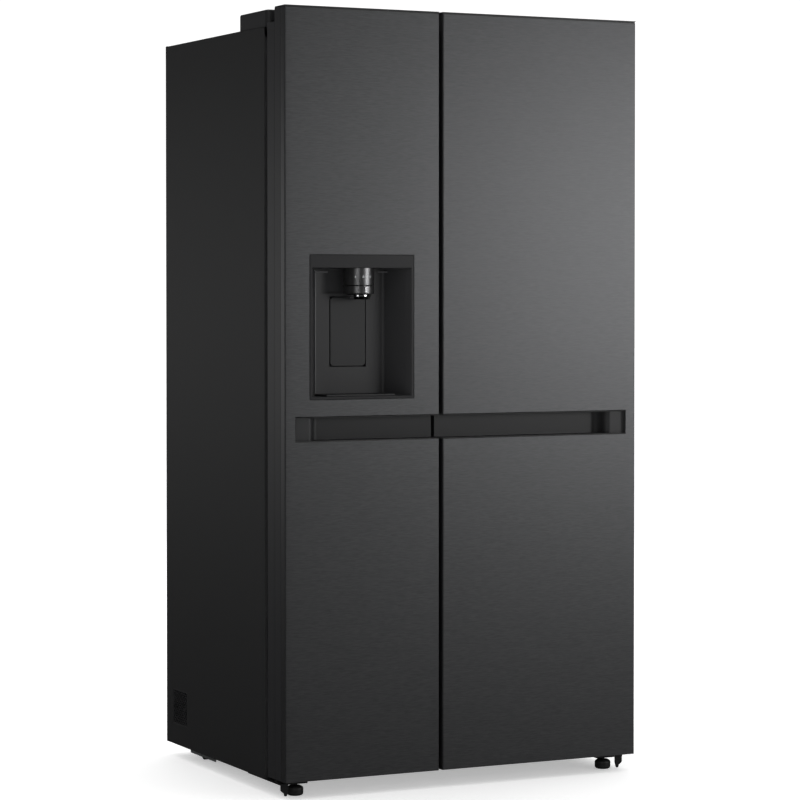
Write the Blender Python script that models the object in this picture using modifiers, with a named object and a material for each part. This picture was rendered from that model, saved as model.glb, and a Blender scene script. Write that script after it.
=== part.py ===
"""A side-by-side refrigerator with an ice and water dispenser in its freezer door.

Metres, +Z up. The origin is on the floor, under the middle of the object. +X is to the right of
someone who faces the doors, and the doors face -Y.
"""

import math

import bmesh
import bpy
from mathutils import Matrix, Vector

# ---- driving dimensions ----
WIDTH = 0.913
DEPTH = 0.735
HEIGHT = 1.790
GAP = 0.0003                # clearance between pieces that touch
SHEET = 0.001               # steel sheet
WALL = 0.0018               # vacuum-formed liner
TRAY_WALL = 0.0025          # bins and drawers

SIDE = WIDTH / 2
FRONT = -DEPTH / 2          # plane of the door fronts
CASE_FRONT = FRONT + 0.115
CASE_REAR = FRONT + 0.725
CASE_TOP = 1.750
CASE_BOTTOM = 0.032

# insulation and compartments
SIDE_FOAM = 0.055
MULLION = (-0.090, -0.036)
ROOM_TOP = 1.695
ROOM_FLOOR = 0.115
ROOM_REAR = CASE_REAR - SIDE_FOAM
MACHINE_FRONT = 0.130       # the machine room is behind this plane
MACHINE_TOP = 0.290
STEP_FRONT = MACHINE_FRONT - SIDE_FOAM
STEP_TOP = MACHINE_TOP + SIDE_FOAM

# doors
DOOR_GAP = (-0.0675, -0.059)
DOOR_BOTTOM = 0.040
DOOR_BACK = FRONT + 0.100
RETURN_BACK = FRONT + 0.057  # rear edge of the folded skin
CAP_BOTTOM = 1.737
SHOULDER = 1.757
LIP_BACK = FRONT + 0.055
SKIN_TOP = HEIGHT - 0.0018
PIVOT_X = SIDE - 0.023
PIVOT_Y = FRONT + 0.072
PIN_RADIUS = 0.005
PIN_BORE = 0.0058
DIKE_DEPTH = 0.045
DIKE_WIDTH = 0.025
DIKE_Z = (ROOM_FLOOR + 0.020, ROOM_TOP - 0.020)
BIN_BACK = FRONT + 0.204    # face of the bins that looks into the compartment
FOAM_SPLIT = 0.890          # between the two blocks of foam in the freezer door

# handle pockets
POCKET_END = 0.4295
POCKET_SHELF = 0.391        # the shallow shelf runs from here to the end
POCKET_Z = (0.810, 0.862)
POCKET_DEPTH = 0.044
POCKET_LIP = 0.010
POCKET_UNDERCUT = 0.015
POCKET_WALL = 0.0015
POCKET_SHELF_DEPTH = 0.009

# dispenser, on the freezer door
BEZEL_X = (-0.395, -0.1335)
BEZEL_Z = (0.903, 1.2305)
BEZEL_RIM = 0.006
BEZEL_THICK = 0.0025
NICHE_TOP = 1.201
NICHE_DEPTH = 0.075
NICHE_TAPER = 0.036         # how far each side wall leans in at the back
NOZZLE_X = -0.254
NOZZLE_Y = FRONT + 0.040
NOZZLE_RADIUS = 0.035
NOZZLE_BORE = 0.0217
PAD_X = (-0.3105, -0.2215)
PAD_Z = (0.976, 1.134)
PAD_PIVOT = (FRONT + 0.0765, 1.130)
CHUTE_X = (-0.285, -0.223)
CHUTE_Z = 1.332
FLAP_PIVOT = (FRONT + 0.064, 1.280)

# inside the compartments
STORE_FRONT = FRONT + 0.245
EVAPORATOR_WALL = 0.238
FREEZER_X = (-SIDE + SIDE_FOAM, MULLION[0])
FRIDGE_X = (MULLION[1], SIDE - SIDE_FOAM)

# what it stands on
FOOT_X = 0.405
FOOT_Y = FRONT + 0.062
FOOT_RADIUS = 0.0215
ROLLER_X = 0.400
ROLLER_Y = FRONT + 0.600
ROLLER_RADIUS = 0.015
PLATE_Z = (0.0275, 0.0315)  # lower hinge plates


# ---- scene, materials and shape helpers ----
def clear_scene():
    for obj in list(bpy.data.objects):
        bpy.data.objects.remove(obj, do_unlink=True)


def new_collection(name):
    collection = bpy.data.collections.new(name)
    bpy.context.scene.collection.children.link(collection)
    return collection


def make_material(name, colour, roughness, metallic=0.0):
    material = bpy.data.materials.new(name)
    material.use_nodes = True
    shader = material.node_tree.nodes["Principled BSDF"]
    shader.inputs["Base Color"].default_value = (*colour, 1.0)
    shader.inputs["Roughness"].default_value = roughness
    shader.inputs["Metallic"].default_value = metallic
    material.diffuse_color = (*colour, 1.0)
    return material


clear_scene()
PARTS = new_collection("side_by_side_refrigerator")
CUTTERS = new_collection("cutters")

BLACK_STEEL = make_material("black_steel", (0.075, 0.077, 0.080), 0.36, 0.85)
CASE_PAINT = make_material("case_paint", (0.016, 0.016, 0.017), 0.45, 0.2)
BLACK_PLASTIC = make_material("black_plastic", (0.014, 0.014, 0.015), 0.42)
GREY_PLASTIC = make_material("grey_plastic", (0.045, 0.046, 0.048), 0.38)
WHITE_PLASTIC = make_material("white_plastic", (0.80, 0.81, 0.82), 0.35)
CLEAR_PLASTIC = make_material("clear_plastic", (0.72, 0.78, 0.82), 0.12)
RUBBER = make_material("rubber", (0.10, 0.10, 0.105), 0.8)
FOAM = make_material("foam", (0.78, 0.70, 0.48), 0.9)
DARK_CHROME = make_material("dark_chrome", (0.16, 0.16, 0.165), 0.16, 1.0)
GALVANISED = make_material("galvanised", (0.48, 0.49, 0.50), 0.4, 0.9)


def world_origin(obj):
    """Where an object's origin is, from its own location and its parents' ones."""
    place = Vector(obj.location)
    while obj.parent:
        obj = obj.parent
        place = place + obj.location
    return place


def pivot(name, place, parent=None):
    """An empty on a joint's axis, which carries the pieces that turn about it."""
    empty = bpy.data.objects.new(name, None)
    empty.empty_display_size = 0.05
    empty.location = Vector(place)
    if parent:
        empty.parent = parent
        empty.location = Vector(place) - world_origin(parent)
    PARTS.objects.link(empty)
    return empty


def place_mesh(name, bm, origin, collection):
    """Turn a bmesh with world points into an object whose origin is at a chosen place."""
    bmesh.ops.translate(bm, verts=bm.verts, vec=-Vector(origin))
    mesh = bpy.data.meshes.new(name)
    bm.to_mesh(mesh)
    bm.free()
    obj = bpy.data.objects.new(name, mesh)
    obj.location = Vector(origin)
    collection.objects.link(obj)
    return obj


def finish_piece(obj, material, parent=None):
    """Give a piece its material and hang it on the empty that moves it."""
    obj.data.materials.append(material)
    if parent:
        place = world_origin(obj)
        obj.parent = parent
        obj.location = place - world_origin(parent)
    return obj


def block_mesh(x, y, z):
    """A bmesh box between two corners."""
    bm = bmesh.new()
    low = Vector((min(x), min(y), min(z)))
    high = Vector((max(x), max(y), max(z)))
    scale = Matrix.Diagonal((*(high - low), 1.0))
    bmesh.ops.create_cube(bm, size=1.0, matrix=Matrix.Translation((low + high) / 2) @ scale)
    return bm


TURNS = {
    "X": Matrix.Rotation(math.pi / 2, 4, "Y"),
    "Y": Matrix.Rotation(math.pi / 2, 4, "X"),
    "Z": Matrix.Identity(4),
}


def round_mesh(centre, radius, length, axis, sides=32):
    """A bmesh cylinder about a line through its centre."""
    bm = bmesh.new()
    matrix = Matrix.Translation(centre) @ TURNS[axis]
    bmesh.ops.create_cone(
        bm, cap_ends=True, segments=sides, radius1=radius, radius2=radius, depth=length, matrix=matrix
    )
    return bm


def combine(piece, bm, operation):
    """Cut a shape from a piece, or join it on, with a Boolean that stays on the piece."""
    bmesh.ops.translate(bm, verts=bm.verts, vec=-world_origin(piece))
    number = len(piece.modifiers)
    tool = place_mesh(f"{piece.name}_{operation.lower()}_{number}", bm, (0, 0, 0), CUTTERS)
    tool.parent = piece
    tool.hide_render = True
    tool.display_type = "WIRE"
    modifier = piece.modifiers.new(f"{operation.lower()}_{number}", "BOOLEAN")
    modifier.operation = operation
    modifier.solver = "EXACT"
    modifier.object = tool


def block(name, x, y, z, material, parent=None, origin=None):
    """A box-shaped piece between two corners."""
    middle = (sum(x) / 2, sum(y) / 2, sum(z) / 2)
    obj = place_mesh(name, block_mesh(x, y, z), origin or middle, PARTS)
    return finish_piece(obj, material, parent)


def cut_block(piece, x, y, z):
    combine(piece, block_mesh(x, y, z), "DIFFERENCE")


def join_block(piece, x, y, z):
    combine(piece, block_mesh(x, y, z), "UNION")


def cut_round(piece, centre, radius, length, axis, sides=32):
    combine(piece, round_mesh(centre, radius, length, axis, sides), "DIFFERENCE")


def join_round(piece, centre, radius, length, axis, sides=32):
    combine(piece, round_mesh(centre, radius, length, axis, sides), "UNION")


def grown(span, amount):
    """A pair of limits moved apart by an amount at each end."""
    return (min(span) - amount, max(span) + amount)


def mirrored(span, side):
    """The same limits on the left (-1) or the right (+1)."""
    return (side * span[0], side * span[1])


def turned(name, profile, origin, material, parent=None, steps=32):
    """A solid of revolution about +Z from (radius, height) points that run from top to bottom."""
    bm = bmesh.new()
    verts = [bm.verts.new((radius, 0.0, height)) for radius, height in profile]
    for first, second in zip(verts, verts[1:]):
        bm.edges.new((first, second))
    if profile[0][0] > 0:
        bm.edges.new((verts[-1], verts[0]))
    obj = place_mesh(name, bm, (0, 0, 0), PARTS)
    obj.location = Vector(origin)
    screw = obj.modifiers.new("turn", "SCREW")
    screw.steps = steps
    screw.render_steps = steps
    screw.use_merge_vertices = True
    screw.merge_threshold = 0.00001
    obj.data.shade_smooth()
    return finish_piece(obj, material, parent)


def wire_piece(name, points, radius, origin, material, parent=None):
    """A round wire or tube through world points, with flat ends, made into a mesh."""
    curve = bpy.data.curves.new(name, "CURVE")
    curve.dimensions = "3D"
    curve.bevel_depth = radius
    curve.bevel_resolution = 2
    curve.use_fill_caps = True
    spline = curve.splines.new("POLY")
    spline.points.add(len(points) - 1)
    for slot, point in zip(spline.points, points):
        slot.co = (*(Vector(point) - Vector(origin)), 1.0)
    guide = bpy.data.objects.new(f"{name}_line", curve)
    PARTS.objects.link(guide)
    depsgraph = bpy.context.evaluated_depsgraph_get()
    mesh = bpy.data.meshes.new_from_object(guide.evaluated_get(depsgraph))
    bpy.data.objects.remove(guide)
    bm = bmesh.new()
    bm.from_mesh(mesh)
    bmesh.ops.remove_doubles(bm, verts=bm.verts, dist=0.00001)
    bm.to_mesh(mesh)
    bm.free()
    mesh.name = name
    mesh.shade_smooth()
    obj = bpy.data.objects.new(name, mesh)
    obj.location = Vector(origin)
    PARTS.objects.link(obj)
    return finish_piece(obj, material, parent)


# ---- the case: painted sheets, back sheet and rear spacer ----
VENT_Y = (FRONT + 0.590, FRONT + 0.684)
VENT_Z = (0.082, 0.168)
VENT_SLOTS = 7
FLANGE = 0.024


def case_side(name, side):
    """One side sheet, with its front flange folded inwards and a slotted vent low at the back."""
    sheet = (side * SIDE, side * (SIDE - SHEET))
    piece = block(name, sheet, (CASE_FRONT, CASE_REAR), (CASE_BOTTOM, CASE_TOP - SHEET - GAP), CASE_PAINT)
    flange = (side * (SIDE - SHEET / 2), side * (SIDE - FLANGE))
    join_block(piece, flange, (CASE_FRONT, CASE_FRONT + SHEET), (CASE_BOTTOM, CASE_TOP - FLANGE - 2 * GAP))
    pitch = (VENT_Z[1] - VENT_Z[0]) / VENT_SLOTS
    through = mirrored((SIDE + 0.001, SIDE - 0.003), side)
    for row in range(VENT_SLOTS):
        low = VENT_Z[0] + row * pitch
        cut_block(piece, through, VENT_Y, (low, low + pitch * 0.6))


def case_top():
    across = (-SIDE, SIDE)
    piece = block("case_top", across, (CASE_FRONT, CASE_REAR), (CASE_TOP - SHEET, CASE_TOP), CASE_PAINT)
    inside = grown(across, -SHEET - GAP)
    join_block(piece, inside, (CASE_FRONT, CASE_FRONT + SHEET), (CASE_TOP - FLANGE, CASE_TOP - SHEET / 2))


def case_back():
    inside = (-SIDE + SHEET + GAP, SIDE - SHEET - GAP)
    sheet = (CASE_REAR - SHEET, CASE_REAR)
    block("back_panel", inside, sheet, (MACHINE_TOP + GAP, CASE_TOP - SHEET - GAP), GALVANISED)
    bar = (CASE_REAR + GAP, -FRONT)
    block("rear_spacer", grown(inside, -0.002), bar, (1.704, CASE_TOP + 0.002), BLACK_PLASTIC)


# ---- insulation and liners ----
def room(piece, span, grow, combine_block, front):
    """A compartment, with the step over the machine room, grown by an amount on its closed sides."""
    across = grown(span, grow)
    combine_block(piece, across, (front, ROOM_REAR + grow), (STEP_TOP - grow, ROOM_TOP + grow))
    combine_block(piece, across, (front, STEP_FRONT + grow), (ROOM_FLOOR - grow, STEP_TOP + 0.010))


def cabinet_foam():
    inside = (-SIDE + SHEET + GAP, SIDE - SHEET - GAP)
    depth = (CASE_FRONT + WALL + GAP, CASE_REAR - SHEET - GAP)
    piece = block("cabinet_foam", inside, depth, (CASE_BOTTOM + 0.0025, CASE_TOP - SHEET - GAP), FOAM)
    for span in (FREEZER_X, FRIDGE_X):
        room(piece, span, GAP, cut_block, CASE_FRONT - 0.010)
    cut_block(piece, grown(inside, 0.010), (MACHINE_FRONT, CASE_REAR + 0.010), (0.0, MACHINE_TOP))


def liner(name, span, flange_x):
    """An open-fronted box with a flange over the front edge of the insulation."""
    height = (CASE_BOTTOM + 0.008, CASE_TOP - FLANGE - 2 * GAP)
    piece = block(name, flange_x, (CASE_FRONT, CASE_FRONT + WALL), height, WHITE_PLASTIC)
    room(piece, span, 0.0, join_block, CASE_FRONT + WALL / 2)
    room(piece, span, -WALL, cut_block, CASE_FRONT - 0.010)


# ---- machine room ----
COMPRESSOR = (0.250, 0.245)
COMPRESSOR_RADIUS = 0.072
FAN_SPOT = (0.020, 0.245, 0.150)
RAIL_HALF = 0.0125
GLAND = (0.340, 0.120)


def base_frame():
    """The steel floor, with a pair of rails around each roller."""
    inside = (-SIDE + SHEET + GAP, SIDE - SHEET - GAP)
    depth = (CASE_FRONT + WALL + GAP, CASE_REAR - 0.003)
    piece = block("base_frame", inside, depth, (CASE_BOTTOM, CASE_BOTTOM + 0.002), GALVANISED)
    for side in (-1, 1):
        for edge in (-1, 1):
            middle = side * ROLLER_X + edge * RAIL_HALF
            rail_y = (ROLLER_Y - 0.085, ROLLER_Y + 0.075)
            join_block(piece, (middle - 0.0012, middle + 0.0012), rail_y, (0.007, CASE_BOTTOM + 0.001))
            cut_round(piece, (middle, ROLLER_Y, ROLLER_RADIUS), 0.0037, 0.006, "X", 16)


def compressor():
    """A domed steel pot with a weld band, on a flat foot plate."""
    bottom = CASE_BOTTOM + 0.0024
    profile = [(0.0, 0.190)]
    for step in range(1, 7):
        angle = math.radians(15 * step)
        profile.append((COMPRESSOR_RADIUS * math.sin(angle), 0.145 + 0.045 * math.cos(angle)))
    profile += [(COMPRESSOR_RADIUS, 0.110), (0.077, 0.109), (0.077, 0.103), (COMPRESSOR_RADIUS, 0.102)]
    profile += [(COMPRESSOR_RADIUS, 0.030), (0.060, 0.008), (0.0, 0.008)]
    piece = turned("compressor", profile, (*COMPRESSOR, bottom), BLACK_PLASTIC)
    plate_x = (COMPRESSOR[0] - 0.095, COMPRESSOR[0] + 0.095)
    plate_y = (COMPRESSOR[1] - 0.060, COMPRESSOR[1] + 0.060)
    join_block(piece, plate_x, plate_y, (bottom, bottom + 0.012))


def fan(name, centre, axis, radius, hub, depth, material):
    """A hub with pitched blades. Its origin is on its shaft, and it is made about +Z and turned."""
    piece = place_mesh(name, round_mesh((0, 0, 0), hub, depth, "Z", 20), (0, 0, 0), PARTS)
    blades = 5
    for number in range(blades):
        blade = block_mesh((-0.0012, 0.0012), (hub * 0.6, radius), (-depth * 0.55, depth * 0.55))
        pitch = Matrix.Rotation(math.radians(38), 4, "Y")
        bmesh.ops.transform(blade, matrix=pitch, verts=blade.verts)
        spin = Matrix.Rotation(2 * math.pi * number / blades, 4, "Z")
        bmesh.ops.transform(blade, matrix=spin, verts=blade.verts)
        combine(piece, blade, "UNION")
    piece.rotation_euler = TURNS[axis].to_euler()
    piece.location = Vector(centre)
    return finish_piece(piece, material)


def rear_cover():
    """The slotted cover of the machine room, with the gland where the supply lead would enter."""
    inside = (-SIDE + SHEET + 2 * GAP, SIDE - SHEET - 2 * GAP)
    plate = (CASE_REAR - 0.002, CASE_REAR - 0.0005)
    piece = block("rear_cover", inside, plate, (CASE_BOTTOM + 0.004, MACHINE_TOP - GAP), CASE_PAINT)
    through = (plate[0] - 0.002, plate[1] + 0.002)
    for left in (-0.380, 0.120):
        for row in range(9):
            low = 0.075 + row * 0.020
            cut_block(piece, (left, left + 0.180), through, (low, low + 0.008))
    centre = (GLAND[0], CASE_REAR - 0.001, GLAND[1])
    join_round(piece, centre, 0.012, 0.014, "Y", 20)
    cut_round(piece, centre, 0.005, 0.030, "Y", 16)


def machine_room():
    base_frame()
    compressor()
    fan("condenser_fan", FAN_SPOT, "X", 0.070, 0.020, 0.026, BLACK_PLASTIC)
    rear_cover()


# ---- hinges, feet and rollers ----
ARM_Z = (SHOULDER + 0.0015, SHOULDER + 0.0055)


def upper_hinge(name, side):
    """A cranked steel arm screwed to the case top, with its pin down into the door."""
    pivot_x = side * PIVOT_X
    tongue = (pivot_x - side * 0.004, pivot_x - side * 0.034)
    pad_y = (CASE_FRONT + 0.010, CASE_FRONT + 0.120)
    pad_x = (pivot_x + side * 0.004, pivot_x - side * 0.070)
    piece = block(name, pad_x, pad_y, (CASE_TOP + GAP, CASE_TOP + 0.0045), GALVANISED)
    join_block(piece, tongue, (pad_y[0] + 0.001, pad_y[0] + 0.006), (CASE_TOP + 0.001, ARM_Z[1]))
    join_block(piece, tongue, (PIVOT_Y, pad_y[0] + 0.0055), ARM_Z)
    join_round(piece, (pivot_x, PIVOT_Y, sum(ARM_Z) / 2), 0.011, ARM_Z[1] - ARM_Z[0] + 0.0006, "Z")
    pin = (CAP_BOTTOM + 0.002, ARM_Z[1] - 0.001)
    join_round(piece, (pivot_x, PIVOT_Y, sum(pin) / 2), PIN_RADIUS, pin[1] - pin[0], "Z", 24)


def hinge_cover(name, side):
    """A moulded cover over the hinge arm, open below and slotted at its front for the arm."""
    outer_x = (side * (SIDE - 0.004), side * (SIDE - 0.124))
    outer_y = (FRONT + 0.109, FRONT + 0.274)
    top = HEIGHT - 0.001
    piece = block(name, outer_x, outer_y, (CASE_TOP + GAP, top), BLACK_PLASTIC)
    cut_block(piece, grown(outer_x, -0.002), grown(outer_y, -0.002), (CASE_TOP - 0.002, top - 0.002))
    pivot_x = side * PIVOT_X
    slot = (pivot_x + side * 0.0065, pivot_x - side * 0.037)
    cut_block(piece, slot, (outer_y[0] - 0.001, outer_y[0] + 0.003), (CASE_TOP - 0.002, ARM_Z[1] + 0.002))


def lower_hinge(name, side):
    """The bracket below the door: a plate under the case, a pin, a down-turned lug and a foot hole."""
    pivot_x = side * PIVOT_X
    plate_x = (side * (SIDE - 0.006), side * (SIDE - 0.076))
    piece = block(name, plate_x, (FRONT + 0.046, FRONT + 0.230), PLATE_Z, GALVANISED)
    lug_x = (side * (SIDE - 0.008), side * (SIDE - 0.027))
    join_block(piece, lug_x, (FRONT + 0.044, FRONT + 0.0475), (0.005, PLATE_Z[1]))
    join_round(piece, (pivot_x, PIVOT_Y, 0.0335), 0.010, 0.009, "Z")
    join_round(piece, (pivot_x, PIVOT_Y, 0.0440), PIN_RADIUS, 0.026, "Z", 24)
    cut_round(piece, (side * FOOT_X, FOOT_Y, 0.030), 0.0058, 0.010, "Z", 24)


def foot(name, side):
    """A levelling foot: a round base with a rounded rim, on a screw that runs through the bracket."""
    rim = FOOT_RADIUS
    profile = [(0.0, 0.0365), (0.005, 0.0365), (0.005, 0.0225), (0.015, 0.0225), (0.019, 0.020)]
    profile += [(rim, 0.017), (rim, 0.006), (0.0200, 0.0022), (0.0165, 0.0), (0.0, 0.0)]
    turned(name, profile, (side * FOOT_X, FOOT_Y, 0.0), BLACK_PLASTIC)


def roller(name, side):
    """A rear roller with its own short axle, which turns in the rails."""
    reach = RAIL_HALF + 0.003
    rim = ROLLER_RADIUS
    profile = [(0.0, reach), (0.003, reach), (0.003, 0.0095), (rim - 0.001, 0.0095), (rim, 0.0085)]
    profile += [(radius, -height) for radius, height in reversed(profile)]
    piece = turned(name, profile, (side * ROLLER_X, ROLLER_Y, rim), BLACK_PLASTIC)
    piece.rotation_euler = TURNS["X"].to_euler()


# ---- doors ----
def door_span(side):
    """A door's outer limits, hinge edge first."""
    return (side * SIDE, DOOR_GAP[0] if side < 0 else DOOR_GAP[1])


def pocket_cavity(piece, side, grow):
    """The hollow of a handle pocket, grown on its closed sides. It runs out through the latch edge."""
    deep_x = (side * (POCKET_SHELF + grow), door_span(side)[1] - side * 0.004)
    shelf_x = (side * (POCKET_END + grow), side * (POCKET_SHELF - 0.010))
    front = FRONT - 0.002
    back = FRONT + POCKET_DEPTH + grow
    height = grown(POCKET_Z, grow)
    cut_block(piece, shelf_x, (front, FRONT + POCKET_SHELF_DEPTH + grow), height)
    cut_block(piece, deep_x, (front, back), height)
    raised = (POCKET_Z[1] - 0.005, POCKET_Z[1] + POCKET_UNDERCUT + grow)
    cut_block(piece, deep_x, (FRONT + POCKET_LIP - grow, back), raised)


def pocket_slot(piece, side):
    """The straight-sided hollow that a door's foam leaves for the pocket's moulding."""
    grow = POCKET_WALL + GAP
    across = (side * (POCKET_END + grow), door_span(side)[1] - side * 0.004)
    depth = (FRONT - 0.002, FRONT + POCKET_DEPTH + grow)
    cut_block(piece, across, depth, (POCKET_Z[0] - grow, POCKET_Z[1] + POCKET_UNDERCUT + grow))


def handle_pocket(name, side, parent):
    """A moulded pocket: a shallow shelf at its end, then a deep scoop with an undercut above."""
    latch = door_span(side)[1]
    wall = POCKET_WALL
    height = grown(POCKET_Z, wall)
    deep_x = (side * (POCKET_SHELF + wall), latch)
    piece = block(name, deep_x, (FRONT, FRONT + POCKET_DEPTH + wall), height, GREY_PLASTIC, parent)
    shelf_x = (side * (POCKET_END + wall), side * POCKET_SHELF)
    join_block(piece, shelf_x, (FRONT, FRONT + POCKET_SHELF_DEPTH + wall), height)
    behind = (FRONT + POCKET_LIP - wall, FRONT + POCKET_DEPTH + wall)
    join_block(piece, deep_x, behind, (POCKET_Z[1], POCKET_Z[1] + POCKET_UNDERCUT + wall))
    pocket_cavity(piece, side, 0.0)


def door_skin(name, side, parent):
    """The steel front, folded back at both edges, cut out for the pocket."""
    edge = door_span(side)
    depth = (FRONT, RETURN_BACK)
    piece = block(name, edge, depth, (DOOR_BOTTOM, SKIN_TOP), BLACK_STEEL, parent)
    inside = grown(edge, -SHEET)
    cut_block(piece, inside, (FRONT + SHEET, RETURN_BACK + 0.010), (0.0, HEIGHT + 0.010))
    pocket_cavity(piece, side, POCKET_WALL + GAP)
    return piece


def dike_span(side):
    """The raised rim on the door's inner face, hinge edge first, clear of the compartment's walls."""
    room_x = FREEZER_X if side < 0 else FRIDGE_X
    hinge = side * (SIDE - SIDE_FOAM - 0.015)
    latch = room_x[1] - 0.018 if side < 0 else room_x[0] + 0.018
    return (hinge, latch)


def door_foam(name, side, height, parent):
    """A block of the door's foamed body, which fills the folded skin and stands out behind it."""
    edge = door_span(side)
    piece = block(name, edge, (RETURN_BACK + GAP, DOOR_BACK), height, WHITE_PLASTIC, parent)
    inset = grown(edge, -SHEET - GAP)
    join_block(piece, inset, (FRONT + SHEET + GAP, RETURN_BACK + 0.010), height)
    return piece


def door_rim(name, side, parent):
    """The raised rim of the inner liner, which plugs the compartment's mouth and carries the bins."""
    rim = dike_span(side)
    piece = block(name, rim, (DOOR_BACK + GAP, DOOR_BACK + DIKE_DEPTH), DIKE_Z, WHITE_PLASTIC, parent)
    inside = (grown(rim, -DIKE_WIDTH), grown(DIKE_Z, -DIKE_WIDTH))
    cut_block(piece, inside[0], (DOOR_BACK - 0.005, DOOR_BACK + DIKE_DEPTH + 0.010), inside[1])


def door_cap(name, side, parent):
    """The moulded top cap: a low shoulder under the hinge arm and a raised lip along the front."""
    edge = door_span(side)
    inset = grown(edge, -SHEET - GAP)
    back = FRONT + 0.099
    height = (CAP_BOTTOM, SHOULDER)
    piece = block(name, edge, (RETURN_BACK + GAP, back), height, BLACK_PLASTIC, parent)
    join_block(piece, inset, (FRONT + SHEET + GAP, RETURN_BACK + 0.010), height)
    join_block(piece, inset, (FRONT + SHEET + GAP, LIP_BACK), (SHOULDER - 0.005, HEIGHT - 0.001))
    join_block(piece, edge, (FRONT, LIP_BACK), (SKIN_TOP + GAP, HEIGHT))
    cut_round(piece, (side * PIVOT_X, PIVOT_Y, sum(height) / 2), PIN_BORE, 0.040, "Z", 24)


def door_gasket(name, side, parent):
    """A magnetic seal: a flat ring that lands on the front flange of the case."""
    room_x = FREEZER_X if side < 0 else FRIDGE_X
    hinge = side * (SIDE - 0.041)
    latch = room_x[1] + 0.0015 if side < 0 else room_x[0] - 0.0015
    inner_x = (hinge, latch)
    inner_z = (ROOM_FLOOR - 0.008, ROOM_TOP + 0.008)
    depth = (DOOR_BACK + GAP, CASE_FRONT - GAP)
    piece = block(name, grown(inner_x, 0.016), depth, grown(inner_z, 0.016), RUBBER, parent)
    cut_block(piece, inner_x, grown(depth, 0.010), inner_z)


def tray(name, x, y, z, material, parent=None, origin=None):
    """An open-topped box with thin walls: a bin, a drawer or an ice tray."""
    piece = block(name, x, y, z, material, parent, origin)
    cut_block(piece, grown(x, -TRAY_WALL), grown(y, -TRAY_WALL), (min(z) + TRAY_WALL, max(z) + 0.010))
    return piece


def bin_span(side):
    """The limits of what hangs between the upright parts of the door's raised rim."""
    return grown(dike_span(side), -DIKE_WIDTH - 0.0012)


def door_bin(name, side, low, parent):
    depth = (DOOR_BACK + 0.0004, BIN_BACK)
    tray(name, bin_span(side), depth, (low, low + 0.105), CLEAR_PLASTIC, parent)


def door(prefix, side):
    """The empty on the door's hinge axis and the pieces that both doors have."""
    axis = pivot(f"{prefix}_door_axis", (side * PIVOT_X, PIVOT_Y, 0.0))
    skin = door_skin(f"{prefix}_door_skin", side, axis)
    door_rim(f"{prefix}_door_rim", side, axis)
    door_cap(f"{prefix}_door_cap", side, axis)
    door_gasket(f"{prefix}_door_gasket", side, axis)
    handle_pocket(f"{prefix}_handle_pocket", side, axis)
    return axis, skin


def lower_foam(name, side, height, parent):
    """A block of foam with the pocket's slot and the bore of the lower hinge pin."""
    piece = door_foam(name, side, height, parent)
    pocket_slot(piece, side)
    cut_round(piece, (side * PIVOT_X, PIVOT_Y, DOOR_BOTTOM), PIN_BORE, 0.044, "Z", 24)


# ---- dispenser ----
HOUSING_X = grown(BEZEL_X, -0.0035)
HOUSING_Y = (FRONT + 0.001, FRONT + NICHE_DEPTH + 0.0045)
HOUSING_Z = (BEZEL_Z[0] + 0.0035, BEZEL_Z[1] - 0.002)
PAD_RECESS_X = grown(PAD_X, 0.002)
PAD_RECESS_Z = grown(PAD_Z, 0.002)
PAD_RECESS_BACK = FRONT + 0.0905


def niche_mesh():
    """The niche: as wide as the bezel's opening at the front, with side walls that lean in."""
    opening_x = grown(BEZEL_X, -BEZEL_RIM)
    opening_z = (BEZEL_Z[0] + BEZEL_RIM, NICHE_TOP)
    bm = block_mesh(opening_x, (FRONT - 0.001, FRONT + NICHE_DEPTH), opening_z)
    middle = sum(opening_x) / 2
    half = (opening_x[1] - opening_x[0]) / 2
    for vert in bm.verts:
        if vert.co.y > FRONT + NICHE_DEPTH / 2:
            vert.co.x = middle + (vert.co.x - middle) * (half - NICHE_TAPER) / half
    return bm


def dispenser_housing(parent):
    """The niche and its flat frame, one moulding: the frame is flush with the door's front."""
    piece = block("dispenser_housing", HOUSING_X, HOUSING_Y, HOUSING_Z, BLACK_PLASTIC, parent)
    join_block(piece, BEZEL_X, (FRONT, FRONT + BEZEL_THICK), BEZEL_Z)
    bump_y = (HOUSING_Y[1] - 0.002, PAD_RECESS_BACK + 0.0015)
    join_block(piece, grown(PAD_RECESS_X, 0.006), bump_y, grown(PAD_RECESS_Z, 0.002))
    combine(piece, niche_mesh(), "DIFFERENCE")
    cut_block(piece, PAD_RECESS_X, (FRONT + NICHE_DEPTH - 0.005, PAD_RECESS_BACK), PAD_RECESS_Z)
    axle_x = sum(PAD_X) / 2
    cut_round(piece, (axle_x, *PAD_PIVOT), 0.0025, PAD_RECESS_X[1] - PAD_RECESS_X[0] + 0.006, "X", 16)
    top = (NICHE_TOP + HOUSING_Z[1]) / 2
    cut_round(piece, (NOZZLE_X, NOZZLE_Y, top), NOZZLE_BORE + 0.0008, 0.040, "Z")


def dispenser_nozzle(parent):
    """The fixed spout: a wide collar under the niche's ceiling and a narrow tube with a flared tip."""
    high = NICHE_TOP - GAP
    profile = [(NOZZLE_BORE, high), (NOZZLE_RADIUS, high), (NOZZLE_RADIUS, 1.1605), (0.0235, 1.1605)]
    profile += [(0.0235, 1.1405), (0.0275, 1.1395), (0.0265, 1.129), (NOZZLE_BORE, 1.129)]
    turned("dispenser_nozzle", profile, (NOZZLE_X, NOZZLE_Y, 0.0), DARK_CHROME, parent)


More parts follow.
